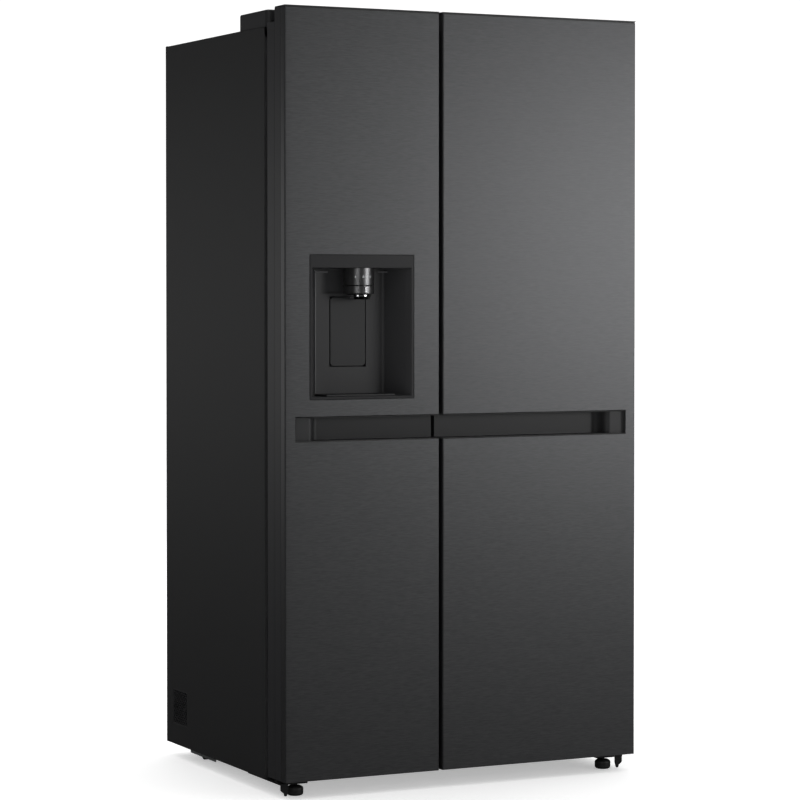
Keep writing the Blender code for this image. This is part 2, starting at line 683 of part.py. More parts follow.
def dispenser_selector(parent):
    """The ring on the spout that is turned to choose water, cubes or crushed ice."""
    origin = (NOZZLE_X, NOZZLE_Y, 0.0)
    profile = [(0.0245, 1.1597), (0.0345, 1.1597), (0.035, 1.159), (0.035, 1.143), (0.034, 1.1415)]
    profile += [(0.0245, 1.1415)]
    piece = turned("dispenser_selector", profile, origin, DARK_CHROME, parent)
    grip_y = (NOZZLE_Y - NOZZLE_RADIUS - 0.0015, NOZZLE_Y - NOZZLE_RADIUS + 0.003)
    join_block(piece, (NOZZLE_X - 0.002, NOZZLE_X + 0.002), grip_y, (1.144, 1.158))


def dispenser_pad(parent):
    """The lever behind the spout: a plate that hangs from an axle and swings back when pushed."""
    front = FRONT + NICHE_DEPTH - 0.001
    axle = (sum(PAD_X) / 2, *PAD_PIVOT)
    piece = block("dispenser_pad", PAD_X, (front, front + 0.0045), PAD_Z, GREY_PLASTIC, parent, axle)
    join_round(piece, axle, 0.0019, PAD_RECESS_X[1] - PAD_RECESS_X[0] + 0.004, "X", 16)


def drip_tray(parent):
    """A loose slotted grille on the niche's floor."""
    x = (-0.350, -0.178)
    y = (FRONT + 0.008, FRONT + 0.070)
    low = BEZEL_Z[0] + BEZEL_RIM + GAP
    piece = block("drip_tray", x, y, (low, low + 0.004), GREY_PLASTIC, parent)
    for slot in range(6):
        start = y[0] + 0.007 + slot * 0.009
        cut_block(piece, grown(x, -0.012), (start, start + 0.004), (low - 0.002, low + 0.006))


def ice_flap(parent):
    """The duct door above the spout. It hangs from an axle at its back and drops to let ice through."""
    axle_x = sum(CHUTE_X) / 2
    origin = (axle_x, *FLAP_PIVOT)
    y = (FLAP_PIVOT[0] - 0.048, FLAP_PIVOT[0])
    z = (FLAP_PIVOT[1] - 0.0015, FLAP_PIVOT[1] + 0.0015)
    piece = block("ice_flap", grown(CHUTE_X, -0.003), y, z, BLACK_PLASTIC, parent, origin)
    join_round(piece, origin, 0.0025, CHUTE_X[1] - CHUTE_X[0] + 0.006, "X", 16)


def open_door_for_dispenser(skin, foam):
    """Cut the skin and the foamed body for the niche's moulding and the ice chute."""
    frame = (grown(BEZEL_X, GAP), grown(BEZEL_Z, GAP))
    cut_block(skin, frame[0], (FRONT - 0.002, FRONT + 0.004), frame[1])
    cut_block(foam, frame[0], (FRONT, FRONT + BEZEL_THICK + GAP), frame[1])
    cut_block(foam, grown(HOUSING_X, GAP), (FRONT, HOUSING_Y[1] + GAP), grown(HOUSING_Z, GAP))
    bump_x = grown(PAD_RECESS_X, 0.006 + GAP)
    cut_block(foam, bump_x, (FRONT, PAD_RECESS_BACK + 0.0015 + GAP), grown(PAD_RECESS_Z, 0.002 + GAP))
    chute_y = (FRONT + 0.012, FRONT + 0.068)
    cut_block(foam, CHUTE_X, chute_y, (HOUSING_Z[1] - 0.004, CHUTE_Z))
    cut_block(foam, CHUTE_X, (chute_y[0], DOOR_BACK + 0.005), (FLAP_PIVOT[1] + 0.007, CHUTE_Z))
    axle = (sum(CHUTE_X) / 2, *FLAP_PIVOT)
    cut_round(foam, axle, 0.0032, CHUTE_X[1] - CHUTE_X[0] + 0.008, "X", 16)


# ---- ice maker, on the inside of the freezer door ----
ICE_Y = (DOOR_BACK + 0.0004, BIN_BACK)
AUGER_SPOT = ((ICE_Y[0] + ICE_Y[1]) / 2, 1.331)
AUGER_RADIUS = 0.023
TRAY_AXIS = ((ICE_Y[0] + ICE_Y[1]) / 2, 1.599)


def ice_bin(parent):
    """The bin that stores ice, with an outlet into the door's chute and bearings for the auger."""
    span = bin_span(-1)
    piece = tray("ice_bin", span, ICE_Y, (1.2945, 1.500), CLEAR_PLASTIC, parent)
    cut_block(piece, CHUTE_X, (ICE_Y[0] - 0.002, ICE_Y[0] + 0.004), (1.297, CHUTE_Z))
    centre = (sum(span) / 2, *AUGER_SPOT)
    cut_round(piece, centre, 0.0034, 0.300, "X", 16)


def auger_points():
    """A wire: a stub on the axis, a wide helix, and a stub at the other end."""
    span = grown(bin_span(-1), 0.0004)
    left, right = min(span), max(span)
    y, z = AUGER_SPOT
    points = [(left, y, z), (left + 0.012, y, z)]
    turns = 4
    steps = 12
    start, stop = left + 0.018, right - 0.018
    for step in range(turns * steps + 1):
        angle = 2 * math.pi * step / steps
        along = start + (stop - start) * step / (turns * steps)
        points.append((along, y + AUGER_RADIUS * math.cos(angle), z + AUGER_RADIUS * math.sin(angle)))
    points += [(right - 0.012, y, z), (right, y, z)]
    return points


def ice_maker(parent):
    """The ice maker: a motor box and end plate that carry a tray, which turns over to drop its ice."""
    span = bin_span(-1)
    left, right = min(span), max(span)
    top = (1.6455, 1.6485)
    low = TRAY_AXIS[1] - 0.043
    piece = block("ice_maker_body", (left, left + 0.036), ICE_Y, (low, top[1]), WHITE_PLASTIC, parent)
    join_block(piece, (left + 0.010, right), ICE_Y, top)
    join_block(piece, (right - 0.003, right), ICE_Y, (low, top[1]))
    cut_round(piece, (sum(span) / 2, *TRAY_AXIS), 0.0044, 0.224, "X", 20)
    tray_x = (left + 0.0385, right - 0.0055)
    tray_y = (TRAY_AXIS[0] - 0.040, TRAY_AXIS[0] + 0.040)
    tray_z = (TRAY_AXIS[1] - 0.017, TRAY_AXIS[1] + 0.014)
    origin = (sum(tray_x) / 2, *TRAY_AXIS)
    cups = block("ice_maker_tray", tray_x, tray_y, tray_z, WHITE_PLASTIC, parent, origin)
    count = 5
    pitch = (tray_x[1] - tray_x[0] - 0.016) / count
    for column in range(count):
        start = tray_x[0] + 0.008 + column * pitch + 0.0015
        for half in (-1, 1):
            cup_y = (TRAY_AXIS[0] + half * 0.002, TRAY_AXIS[0] + half * 0.037)
            cut_block(cups, (start, start + pitch - 0.003), cup_y, (tray_z[0] + 0.003, tray_z[1] + 0.01))
    for end, out in ((tray_x[0], -1), (tray_x[1], 1)):
        stub = (end + out * 0.001, *TRAY_AXIS)
        join_round(cups, stub, 0.0036, 0.006, "X", 20)


# ---- inside the compartments ----
SHELF_THICK = 0.006
DRAWER_MARGIN = 0.050       # between the hinge axis and a drawer, so that the door clears it


def shelf(name, room_x, low, rear):
    """A glass shelf in a plastic rim."""
    block(name, grown(room_x, -WALL - 0.001), (STORE_FRONT, rear), (low, low + SHELF_THICK), CLEAR_PLASTIC)


def drawer(name, side, rear, z):
    """A deep drawer that runs out towards -Y, with a finger rail along its front."""
    room_x = FREEZER_X if side < 0 else FRIDGE_X
    hinge = side * (PIVOT_X - DRAWER_MARGIN)
    latch = room_x[1] - WALL - 0.002 if side < 0 else room_x[0] + WALL + 0.002
    piece = tray(name, (hinge, latch), (STORE_FRONT + 0.004, rear), z, CLEAR_PLASTIC)
    rail_z = (z[1] - 0.030, z[1])
    join_block(piece, grown((hinge, latch), -0.010), (STORE_FRONT - 0.004, STORE_FRONT + 0.005), rail_z)


FREEZER_FAN = (-0.2455, 0.266, 0.860)


def evaporator_cover():
    """The white duct wall at the back of the freezer, with the fan's mouth and air slots."""
    inside = grown(FREEZER_X, -WALL - 0.001)
    depth = (EVAPORATOR_WALL, EVAPORATOR_WALL + 0.003)
    z = (STEP_TOP + WALL + 0.003, ROOM_TOP - WALL - 0.003)
    piece = block("evaporator_cover", inside, depth, z, WHITE_PLASTIC)
    cut_round(piece, FREEZER_FAN, 0.056, 0.100, "Y")
    for height in (1.120, 1.280, 1.440, 1.600):
        for row in range(2):
            low = height + row * 0.014
            cut_block(piece, (-0.300, -0.190), grown(depth, 0.005), (low, low + 0.007))


def compartments():
    wall = ROOM_REAR - WALL - 0.003
    for number, low in enumerate((0.620, 1.020), 1):
        shelf(f"freezer_shelf_{number}", FREEZER_X, low, EVAPORATOR_WALL - 0.003)
    for number, low in enumerate((0.620, 0.930, 1.270), 1):
        shelf(f"fridge_shelf_{number}", FRIDGE_X, low, wall)
    low_z = (ROOM_FLOOR + WALL + 0.001, STEP_TOP - 0.010)
    high_z = (STEP_TOP + WALL + 0.002, 0.600)
    step = STEP_FRONT - WALL - 0.003
    drawer("freezer_drawer_lower", -1, step, low_z)
    drawer("freezer_drawer_upper", -1, EVAPORATOR_WALL - 0.003, high_z)
    drawer("crisper_lower", 1, step, low_z)
    drawer("crisper_upper", 1, wall, high_z)
    evaporator_cover()
    fan("evaporator_fan", FREEZER_FAN, "Y", 0.050, 0.017, 0.020, BLACK_PLASTIC)


def build():
    for label, side in (("left", -1), ("right", 1)):
        case_side(f"case_side_{label}", side)
        upper_hinge(f"upper_hinge_{label}", side)
        hinge_cover(f"hinge_cover_{label}", side)
        lower_hinge(f"lower_hinge_{label}", side)
        foot(f"foot_{label}", side)
        roller(f"roller_{label}", side)
    case_top()
    case_back()
    cabinet_foam()
    middle = sum(MULLION) / 2
    flange = SIDE - FLANGE - GAP
    liner("freezer_liner", FREEZER_X, (-flange, middle - GAP))
    liner("fridge_liner", FRIDGE_X, (middle + GAP, flange))
    machine_room()
    compartments()

    foam_top = CAP_BOTTOM - GAP
    freezer, skin = door("freezer", -1)
    lower_foam("freezer_door_foam_lower", -1, (DOOR_BOTTOM, FOAM_SPLIT - GAP), freezer)
    upper_foam = door_foam("freezer_door_foam_upper", -1, (FOAM_SPLIT, foam_top), freezer)
    open_door_for_dispenser(skin, upper_foam)
    dispenser_housing(freezer)
    dispenser_nozzle(freezer)
    dispenser_selector(freezer)
    dispenser_pad(freezer)
    drip_tray(freezer)
    ice_flap(freezer)
    ice_bin(freezer)
    wire_piece("ice_auger", auger_points(), 0.0025, (NOZZLE_X, *AUGER_SPOT), GALVANISED, freezer)
    ice_maker(freezer)
    door_bin("freezer_door_bin", -1, 0.480, freezer)

    fridge, _ = door("fridge", 1)
    lower_foam("fridge_door_foam", 1, (DOOR_BOTTOM, foam_top), fridge)
    for number, low in enumerate((0.300, 0.760, 1.220), 1):
        door_bin(f"fridge_door_bin_{number}", 1, low, fridge)


build()
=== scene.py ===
import math

import bmesh
import bpy
from mathutils import Matrix, Vector


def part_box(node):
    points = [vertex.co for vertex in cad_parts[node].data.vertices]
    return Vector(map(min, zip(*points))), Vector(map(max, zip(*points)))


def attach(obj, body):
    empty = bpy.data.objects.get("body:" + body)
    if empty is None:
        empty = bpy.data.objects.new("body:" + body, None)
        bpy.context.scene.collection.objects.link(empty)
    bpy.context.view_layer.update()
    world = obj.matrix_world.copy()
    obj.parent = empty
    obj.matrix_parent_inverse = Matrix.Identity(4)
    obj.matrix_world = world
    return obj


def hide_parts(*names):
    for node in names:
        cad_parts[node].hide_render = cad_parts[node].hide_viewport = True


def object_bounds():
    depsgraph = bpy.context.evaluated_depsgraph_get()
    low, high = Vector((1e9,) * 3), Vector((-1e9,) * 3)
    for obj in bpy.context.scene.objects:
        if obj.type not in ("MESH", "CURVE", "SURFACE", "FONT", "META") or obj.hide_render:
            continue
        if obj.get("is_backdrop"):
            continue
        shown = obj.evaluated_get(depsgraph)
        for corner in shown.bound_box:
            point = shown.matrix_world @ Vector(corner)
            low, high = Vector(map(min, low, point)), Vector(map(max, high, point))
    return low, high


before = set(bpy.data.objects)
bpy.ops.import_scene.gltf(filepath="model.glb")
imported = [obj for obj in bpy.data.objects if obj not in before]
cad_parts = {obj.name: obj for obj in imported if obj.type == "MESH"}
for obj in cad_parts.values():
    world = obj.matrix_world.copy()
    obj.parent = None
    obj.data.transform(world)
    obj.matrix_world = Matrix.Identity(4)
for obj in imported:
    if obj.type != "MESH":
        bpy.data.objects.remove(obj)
cad_low, cad_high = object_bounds()
front = cad_low.y
side = cad_high.x

# ---- Studio ----
# A pale floor in a white room that is dimmer on the camera's side. Only the large soft boxes show
# in the gloss. The camera is far off with a long lens, level with the dispenser.
world = bpy.data.worlds.new("room")
bpy.context.scene.world = world
world.use_nodes = True
world.cycles_visibility.glossy = False
world_nodes = world.node_tree.nodes
direction_in = world_nodes.new("ShaderNodeTexCoord")
towards_back = world_nodes.new("ShaderNodeVectorMath")
towards_back.operation = "DOT_PRODUCT"
towards_back.inputs[1].default_value = (0.443, 0.896, 0.0)
room_ramp = world_nodes.new("ShaderNodeMapRange")
for socket, value in (("From Min", -0.8), ("From Max", 0.6), ("To Min", 0.55), ("To Max", 1.1)):
    room_ramp.inputs[socket].default_value = value
world.node_tree.links.new(direction_in.outputs["Generated"], towards_back.inputs[0])
world.node_tree.links.new(towards_back.outputs["Value"], room_ramp.inputs["Value"])
world.node_tree.links.new(room_ramp.outputs["Result"], world_nodes["Background"].inputs["Strength"])
world_nodes["Background"].inputs["Color"].default_value = (1.0, 1.0, 1.0, 1.0)
bpy.context.scene.view_settings.view_transform = "Standard"

camera_data = bpy.data.cameras.new("camera")
camera_data.sensor_width = 36.0
camera_data.lens = 126.70
camera_data.shift_x = -0.0045
camera_data.shift_y = -0.0600
camera_data.clip_end = 60.0
camera = bpy.data.objects.new("camera", camera_data)
camera.location = (-3.0154, -6.1470, 1.1569)
camera.rotation_euler = (math.radians(88.683), 0.0, math.radians(-26.295))
bpy.context.scene.collection.objects.link(camera)
bpy.context.scene.camera = camera


def soft_box(name, place, target, width, height, power):
    """A rectangular lamp that faces a point."""
    data = bpy.data.lights.new(name, "AREA")
    data.shape = "RECTANGLE"
    data.size = width
    data.size_y = height
    data.energy = power
    lamp = bpy.data.objects.new(name, data)
    lamp.location = place
    aim = Vector(target) - Vector(place)
    lamp.rotation_euler = aim.to_track_quat("-Z", "Y").to_euler()
    lamp.visible_camera = False
    bpy.context.scene.collection.objects.link(lamp)


soft_box("key_box", (3.3, -4.55, 1.4), (0.3, -0.3, 1.2), 1.9, 1.4, 50)
soft_box("fill_box", (-4.6, -3.8, 2.6), (-0.3, -0.3, 1.4), 0.9, 1.8, 4)
soft_box("wide_box", (-0.6, -8.6, 2.2), (0.0, 0.0, 1.1), 6.0, 3.0, 4)
soft_box("left_box", (-3.6, -5.0, 1.5), (0.0, -0.3, 1.2), 1.6, 1.5, 14)
soft_box("side_box", (-3.4, 5.4, 1.1), (-0.45, 0.0, 1.0), 1.6, 1.4, 8)
soft_box("top_box", (0.0, 0.2, 4.8), (0.0, 0.0, 1.8), 3.0, 3.0, 30)
soft_box("rear_box", (1.8, 5.6, 2.4), (0.0, 0.3, 1.0), 3.0, 2.4, 24)
soft_box("right_box", (5.6, 1.0, 2.4), (0.4, 0.0, 1.0), 2.4, 2.4, 10)

FLOOR_REACH = 40.0
bm = bmesh.new()
bmesh.ops.create_grid(bm, x_segments=1, y_segments=1, size=FLOOR_REACH)
mesh = bpy.data.meshes.new("floor")
bm.to_mesh(mesh)
bm.free()
floor = bpy.data.objects.new("floor", mesh)
floor.location = (0.0, 0.0, -0.0005)
floor.visible_glossy = False
bpy.context.scene.collection.objects.link(floor)
floor_paint = bpy.data.materials.new("floor_paint")
floor_paint.use_nodes = True
floor_shader = floor_paint.node_tree.nodes["Principled BSDF"]
floor_shader.inputs["Roughness"].default_value = 0.75
floor_shader.inputs["Emission Color"].default_value = (1.0, 1.0, 1.0, 1.0)
floor_shader.inputs["Emission Strength"].default_value = 0.40
floor_noise = floor_paint.node_tree.nodes.new("ShaderNodeTexNoise")
floor_noise.inputs["Scale"].default_value = 3.0
floor_ramp = floor_paint.node_tree.nodes.new("ShaderNodeValToRGB")
floor_ramp.color_ramp.elements[0].color = (0.955, 0.955, 0.955, 1.0)
floor_ramp.color_ramp.elements[1].color = (0.985, 0.985, 0.985, 1.0)
floor_paint.node_tree.links.new(floor_noise.outputs["Fac"], floor_ramp.inputs["Fac"])
floor_paint.node_tree.links.new(floor_ramp.outputs["Color"], floor_shader.inputs["Base Color"])
mesh.materials.append(floor_paint)
floor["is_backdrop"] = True


# ---- Door skins ----
# One pre-finished steel sheet for each door, brushed across its width and tinted dark. It is folded
# back at both edges with a small radius and cut out for the handle pocket and the dispenser.
def textured(
    name, colour, roughness, metallic, grain, stretch, spread, depth, rough_spread=0.06, sheen=0.5
):
    """A finish whose colour, gloss and relief follow one noise pattern on the piece's own axes."""
    material = bpy.data.materials.new(name)
    material.use_nodes = True
    nodes = material.node_tree.nodes
    links = material.node_tree.links
    shader = nodes["Principled BSDF"]
    shader.inputs["Metallic"].default_value = metallic
    shader.inputs["Specular IOR Level"].default_value = sheen
    place = nodes.new("ShaderNodeTexCoord")
    turn = nodes.new("ShaderNodeMapping")
    turn.inputs["Scale"].default_value = stretch
    noise = nodes.new("ShaderNodeTexNoise")
    noise.inputs["Scale"].default_value = grain
    noise.inputs["Detail"].default_value = 4.0
    links.new(place.outputs["Object"], turn.inputs["Vector"])
    links.new(turn.outputs["Vector"], noise.inputs["Vector"])
    tint = nodes.new("ShaderNodeValToRGB")
    tint.color_ramp.elements[0].position = 0.30
    tint.color_ramp.elements[1].position = 0.70
    for stop, factor in zip(tint.color_ramp.elements, (1.0 - spread, 1.0 + spread)):
        stop.color = (*(min(1.0, part * factor) for part in colour), 1.0)
    links.new(noise.outputs["Fac"], tint.inputs["Fac"])
    links.new(tint.outputs["Color"], shader.inputs["Base Color"])
    gloss = nodes.new("ShaderNodeMapRange")
    gloss.inputs["To Min"].default_value = max(0.02, roughness - rough_spread)
    gloss.inputs["To Max"].default_value = min(1.0, roughness + rough_spread)
    links.new(noise.outputs["Fac"], gloss.inputs["Value"])
    links.new(gloss.outputs["Result"], shader.inputs["Roughness"])
    relief = nodes.new("ShaderNodeBump")
    relief.inputs["Strength"].default_value = 0.35
    relief.inputs["Distance"].default_value = depth
    links.new(noise.outputs["Fac"], relief.inputs["Height"])
    links.new(relief.outputs["Normal"], shader.inputs["Normal"])
    return material


def brushed_steel():
    """Dark tinted steel with short strokes across its width."""
    material = textured(
        "black_brushed_steel", (0.100, 0.101, 0.104), 0.40, 0.90, 60.0, (1.0, 9.0, 15.0), 0.16,
        0.00012,
    )
    shader = material.node_tree.nodes["Principled BSDF"]
    shader.inputs["Coat Weight"].default_value = 0.12
    shader.inputs["Coat Roughness"].default_value = 0.28
    return material


black_steel = brushed_steel()
freezer_low, freezer_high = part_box("freezer_door_skin")
fridge_low, fridge_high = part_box("fridge_door_skin")
bezel_low, bezel_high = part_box("dispenser_housing")
POCKET_FACE = (0.8072, 0.8648)
SKIN_FOLD = 0.023
SHEET = 0.001
FRAME_GAP = 0.0010
POCKET_GAP = 0.0002
CAP_LINE = 0.0032
TINY = 0.0001


def finished(name, bm, material, body, nodes=(), smooth=30):
    """Make a piece from a bmesh, shade it, and hang it on the body it moves with."""
    mesh = bpy.data.meshes.new(name)
    bm.to_mesh(mesh)
    bm.free()
    for entry in material if isinstance(material, (list, tuple)) else [material]:
        mesh.materials.append(entry)
    mesh.shade_smooth()
    mesh.set_sharp_from_angle(angle=math.radians(smooth))
    piece = bpy.data.objects.new(name, mesh)
    bpy.context.scene.collection.objects.link(piece)
    even = piece.modifiers.new("even_shading", "WEIGHTED_NORMAL")
    even.keep_sharp = True
    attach(piece, body)
    if nodes:
        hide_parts(*nodes)
    return piece


def add_slab(bm, x, y, z):
    """Add a box between two corners to a bmesh."""
    low = Vector((min(x), min(y), min(z)))
    high = Vector((max(x), max(y), max(z)))
    scale = Matrix.Diagonal((*(high - low), 1.0))
    bmesh.ops.create_cube(bm, size=1.0, matrix=Matrix.Translation((low + high) / 2) @ scale)


def slab(x, y, z):
    """A bmesh box between two corners."""
    bm = bmesh.new()
    add_slab(bm, x, y, z)
    return bm


def edges_where(bm, test):
    """The edges whose two ends both pass a test."""
    return [edge for edge in bm.edges if all(test(vert.co) for vert in edge.verts)]


def edges_along(edges, axis, least):
    """The edges that run further than a length along one axis (0, 1 or 2)."""
    return [e for e in edges if abs(e.verts[0].co[axis] - e.verts[1].co[axis]) > least]


def round_edges(bm, edges, width, segments=3):
    """Give edges a round of one width."""
    bmesh.ops.bevel(
        bm, geom=edges, offset=width, offset_type="OFFSET", segments=segments, profile=0.5,
        affect="EDGES", clamp_overlap=True, material=-1,
    )


def cut_plane(bm, axis, place):
    """Split every face along a plane square to one axis (0, 1 or 2)."""
    normal = Vector((0.0, 0.0, 0.0))
    normal[axis] = 1.0
    bmesh.ops.bisect_plane(
        bm, geom=bm.verts[:] + bm.edges[:] + bm.faces[:], plane_co=normal * place,
        plane_no=normal, dist=0.000001,
    )


def remove_faces(bm, test):
    """Delete the faces whose middle passes a test."""
    doomed = [face for face in bm.faces if test(face.calc_center_median())]
    bmesh.ops.delete(bm, geom=doomed, context="FACES")


def thicken(piece, thickness, offset, rim_bevel=0.0):
    """Give an open sheet its thickness, and take the sharpness off its cut edges."""
    wall = piece.modifiers.new("wall", "SOLIDIFY")
    wall.thickness = thickness
    wall.offset = offset
    wall.use_even_offset = True
    if rim_bevel:
        rim = piece.modifiers.new("rim", "BEVEL")
        rim.width = rim_bevel
        rim.segments = 2
        rim.limit_method = "ANGLE"
        rim.angle_limit = math.radians(50)
    piece.modifiers.move(0, len(piece.modifiers) - 1)


def door_skin(prefix, openings):
    """Fold a sheet round the door's front and cut its openings, each given as (x, z)."""
    low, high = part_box(f"{prefix}_door_skin")
    top = high.z - CAP_LINE
    bm = slab((low.x, high.x), (front, front + SKIN_FOLD), (low.z, top))
    face_edges = edges_where(bm, lambda co: co.y < front + TINY)
    round_edges(bm, edges_along(face_edges, 2, 0.1), 0.0030, 4)
    remove_faces(bm, lambda co: co.y > front + SKIN_FOLD - TINY)
    remove_faces(bm, lambda co: co.z > top - TINY or co.z < low.z + TINY)
    for x, z in openings:
        for place in x:
            if low.x < place < high.x:
                cut_plane(bm, 0, place)
        for place in z:
            cut_plane(bm, 2, place)
        remove_faces(bm, lambda co: min(x) < co.x < max(x) and min(z) < co.z < max(z))
    skin = [f"{prefix}_door_skin"]
    piece = finished(f"{prefix}_door_front", bm, black_steel, f"{prefix}_door", skin)
    thicken(piece, SHEET, -1, 0.0003)


bezel_hole = [(bezel_low[axis] - FRAME_GAP, bezel_high[axis] + FRAME_GAP) for axis in (0, 2)]
freezer_pocket_x = (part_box("freezer_handle_pocket")[0].x - POCKET_GAP, freezer_high.x + 0.01)
fridge_pocket_x = (fridge_low.x - 0.01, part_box("fridge_handle_pocket")[1].x + POCKET_GAP)
door_skin("freezer", [(freezer_pocket_x, POCKET_FACE), bezel_hole])
door_skin("fridge", [(fridge_pocket_x, POCKET_FACE)])


# ---- Door sides and bodies ----
# Behind the folded skin a moulded black strip closes each side, with a step where it meets the
# foamed body. The body is black outside; its inner face is one vacuum-formed white sheet with a
# raised rim.
black_plastic = textured(
    "black_plastic", (0.014, 0.014, 0.015), 0.42, 0.0, 900.0, (1, 1, 1), 0.12, 0.00005
)
white_plastic = textured(
    "white_plastic", (0.74, 0.75, 0.76), 0.34, 0.0, 300.0, (1, 1, 1), 0.02, 0.00004
)
RETURN_BACK = front + 0.057
DOOR_BACK = front + 0.100
STRIP = 0.001


def side_strip(name, x, z, body):
    """A strip between the skin's fold and the foamed body, rounded along its outer edges."""
    bm = slab(x, (front + SKIN_FOLD + 0.0004, RETURN_BACK), z)
    round_edges(bm, edges_where(bm, lambda co: abs(co.x - x[0]) < TINY), 0.0009, 2)
    piece = finished(name, bm, black_plastic, body)


foot_z, head_z = freezer_low.z, freezer_high.z
for prefix, hinge_x, latch_x, inward in (
    ("freezer", freezer_low.x, freezer_high.x, STRIP),
    ("fridge", fridge_high.x, fridge_low.x, -STRIP),
):
    hinge, latch = (hinge_x, hinge_x + inward), (latch_x, latch_x - inward)
    side_strip(f"{prefix}_strip_hinge", hinge, (foot_z, head_z), f"{prefix}_door")
    side_strip(f"{prefix}_strip_lower", latch, (foot_z, POCKET_FACE[0]), f"{prefix}_door")
    side_strip(f"{prefix}_strip_upper", latch, (POCKET_FACE[1], head_z), f"{prefix}_door")


def join_flat(bm):
    """Join triangles that lie in one plane into plain faces."""
    bmesh.ops.dissolve_limit(bm, angle_limit=math.radians(1.0), verts=bm.verts, edges=bm.edges)


def solid_copy(node):
    """The shape of one CAD solid, with plain faces."""
    bm = bmesh.new()
    bm.from_mesh(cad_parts[node].data)
    bmesh.ops.remove_doubles(bm, verts=bm.verts, dist=0.000005)
    join_flat(bm)
    return bm


def sharp_edges(bm, angle=1.0):
    """The edges where the surface turns by more than an angle in radians."""
    return [e for e in bm.edges if e.is_manifold and e.calc_face_angle() > angle]


def softened(node, material, width, body, name, segments=2):
    """A CAD solid with every sharp edge rounded, in its finish."""
    bm = solid_copy(node)
    round_edges(bm, sharp_edges(bm, math.radians(30)), width, segments)
    finished(name, bm, material, body, [node], 40)


def paint_by_place(piece, test, index):
    """Give the faces whose middle passes a test another of the piece's materials."""
    for polygon in piece.data.polygons:
        if test(polygon.center):
            polygon.material_index = index


def door_body(prefix, nodes):
    """The foamed body, black outside and white inside, with any split between blocks closed."""
    bm = bmesh.new()
    for node in nodes:
        bm.from_mesh(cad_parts[node].data)
    bmesh.ops.remove_doubles(bm, verts=bm.verts, dist=0.0006)
    if len(nodes) > 1:
        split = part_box(nodes[1])[0].z
        inner = [f for f in bm.faces if all(abs(v.co.z - split) < 0.001 for v in f.verts)]
        bmesh.ops.delete(bm, geom=inner, context="FACES_ONLY")
    join_flat(bm)
    rear = [e for e in sharp_edges(bm) if all(v.co.y > DOOR_BACK - 0.0008 for v in e.verts)]
    round_edges(bm, rear, 0.0030, 3)
    body = f"{prefix}_door"
    piece = finished(f"{prefix}_door_body", bm, [black_plastic, white_plastic], body, nodes, 40)
    paint_by_place(piece, lambda co: co.y > DOOR_BACK - 0.0003, 1)
    rim = f"{prefix}_door_rim"
    softened(rim, white_plastic, 0.0060, body, f"{prefix}_liner_rim", 4)


door_body("freezer", ["freezer_door_foam_lower", "freezer_door_foam_upper"])
door_body("fridge", ["fridge_door_foam"])


# ---- Top caps and seals ----
# Each door is closed above by a moulded cap: a low shoulder under the hinge arm, and a raised lip
# along the front. The seal is a soft dark ring with a bellows, pushed into a groove of the liner.
seal_rubber = textured(
    "seal_rubber", (0.085, 0.085, 0.09), 0.72, 0.0, 500.0, (1, 1, 1), 0.10, 0.00006
)
for prefix in ("freezer", "fridge"):
    cap = f"{prefix}_door_cap"
    softened(cap, black_plastic, 0.0014, f"{prefix}_door", f"{cap}_finish", 3)


def seal_ring(prefix):
    """Sweep a seal's section round the door: a foot, a thin bellows and a square magnet strip."""
    low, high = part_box(f"{prefix}_door_gasket")
    depth = high.y - low.y
    section = [(0.002, 0.0), (0.014, 0.0), (0.012, 0.28), (0.014, 0.36), (0.012, 0.44)]
    section += [(0.014, 0.52), (0.016, 0.62), (0.016, 1.0), (0.0, 1.0), (0.0, 0.62)]
    section += [(0.003, 0.52), (0.005, 0.44), (0.003, 0.36), (0.005, 0.28)]
    bm = bmesh.new()
    rings = []
    for across, up in ((0, 0), (1, 0), (1, 1), (0, 1)):
        ring = []
        for inset, along in section:
            x = low.x + inset if across == 0 else high.x - inset
            z = low.z + inset if up == 0 else high.z - inset
            ring.append(bm.verts.new((x, low.y + along * depth, z)))
        rings.append(ring)
    count = len(section)
    for corner in range(4):
        here, there = rings[corner], rings[(corner + 1) % 4]
        for spot in range(count):
            after = (spot + 1) % count
            bm.faces.new((here[spot], here[after], there[after], there[spot]))
    bmesh.ops.recalc_face_normals(bm, faces=bm.faces)
    gasket = [f"{prefix}_door_gasket"]
    piece = finished(f"{prefix}_door_seal", bm, seal_rubber, f"{prefix}_door", gasket, 25)


seal_ring("freezer")
seal_ring("fridge")


# ---- Handle pockets ----
# A moulded dark grey trough set into each skin. A shallow shelf at its outer end drops over a round
# edge into a scoop, which runs out to the gap between the doors and is undercut above for fingers.
grey_plastic = textured(
    "grey_plastic", (0.020, 0.0202, 0.021), 0.40, 0.0, 700.0, (1, 1, 1), 0.08, 0.00004, sheen=0.32
)
POCKET_Z = (0.810, 0.862)
POCKET_END = 0.4295
SHELF_DEPTH = 0.009
SCOOP_DEPTH = 0.044
SCOOP_X = 0.380
UNDERCUT = (0.010, 0.015)


def pull_out(bm, faces, move):
    """Extrude a patch of faces along a vector, and give back the vertices that moved."""
    grown = bmesh.ops.extrude_face_region(bm, geom=faces)
    moved = [item for item in grown["geom"] if isinstance(item, bmesh.types.BMVert)]
    bmesh.ops.translate(bm, verts=moved, vec=move)
    return moved


def split_patch(bm, faces, axis, place):
    """Split a patch of faces along a plane square to one axis."""
    normal = Vector((0.0, 0.0, 0.0))
    normal[axis] = 1.0
    patch = set(faces)
    for face in faces:
        patch.update(face.edges)
        patch.update(face.verts)
    bmesh.ops.bisect_plane(
        bm, geom=list(patch), plane_co=normal * place, plane_no=normal, dist=0.000001
    )


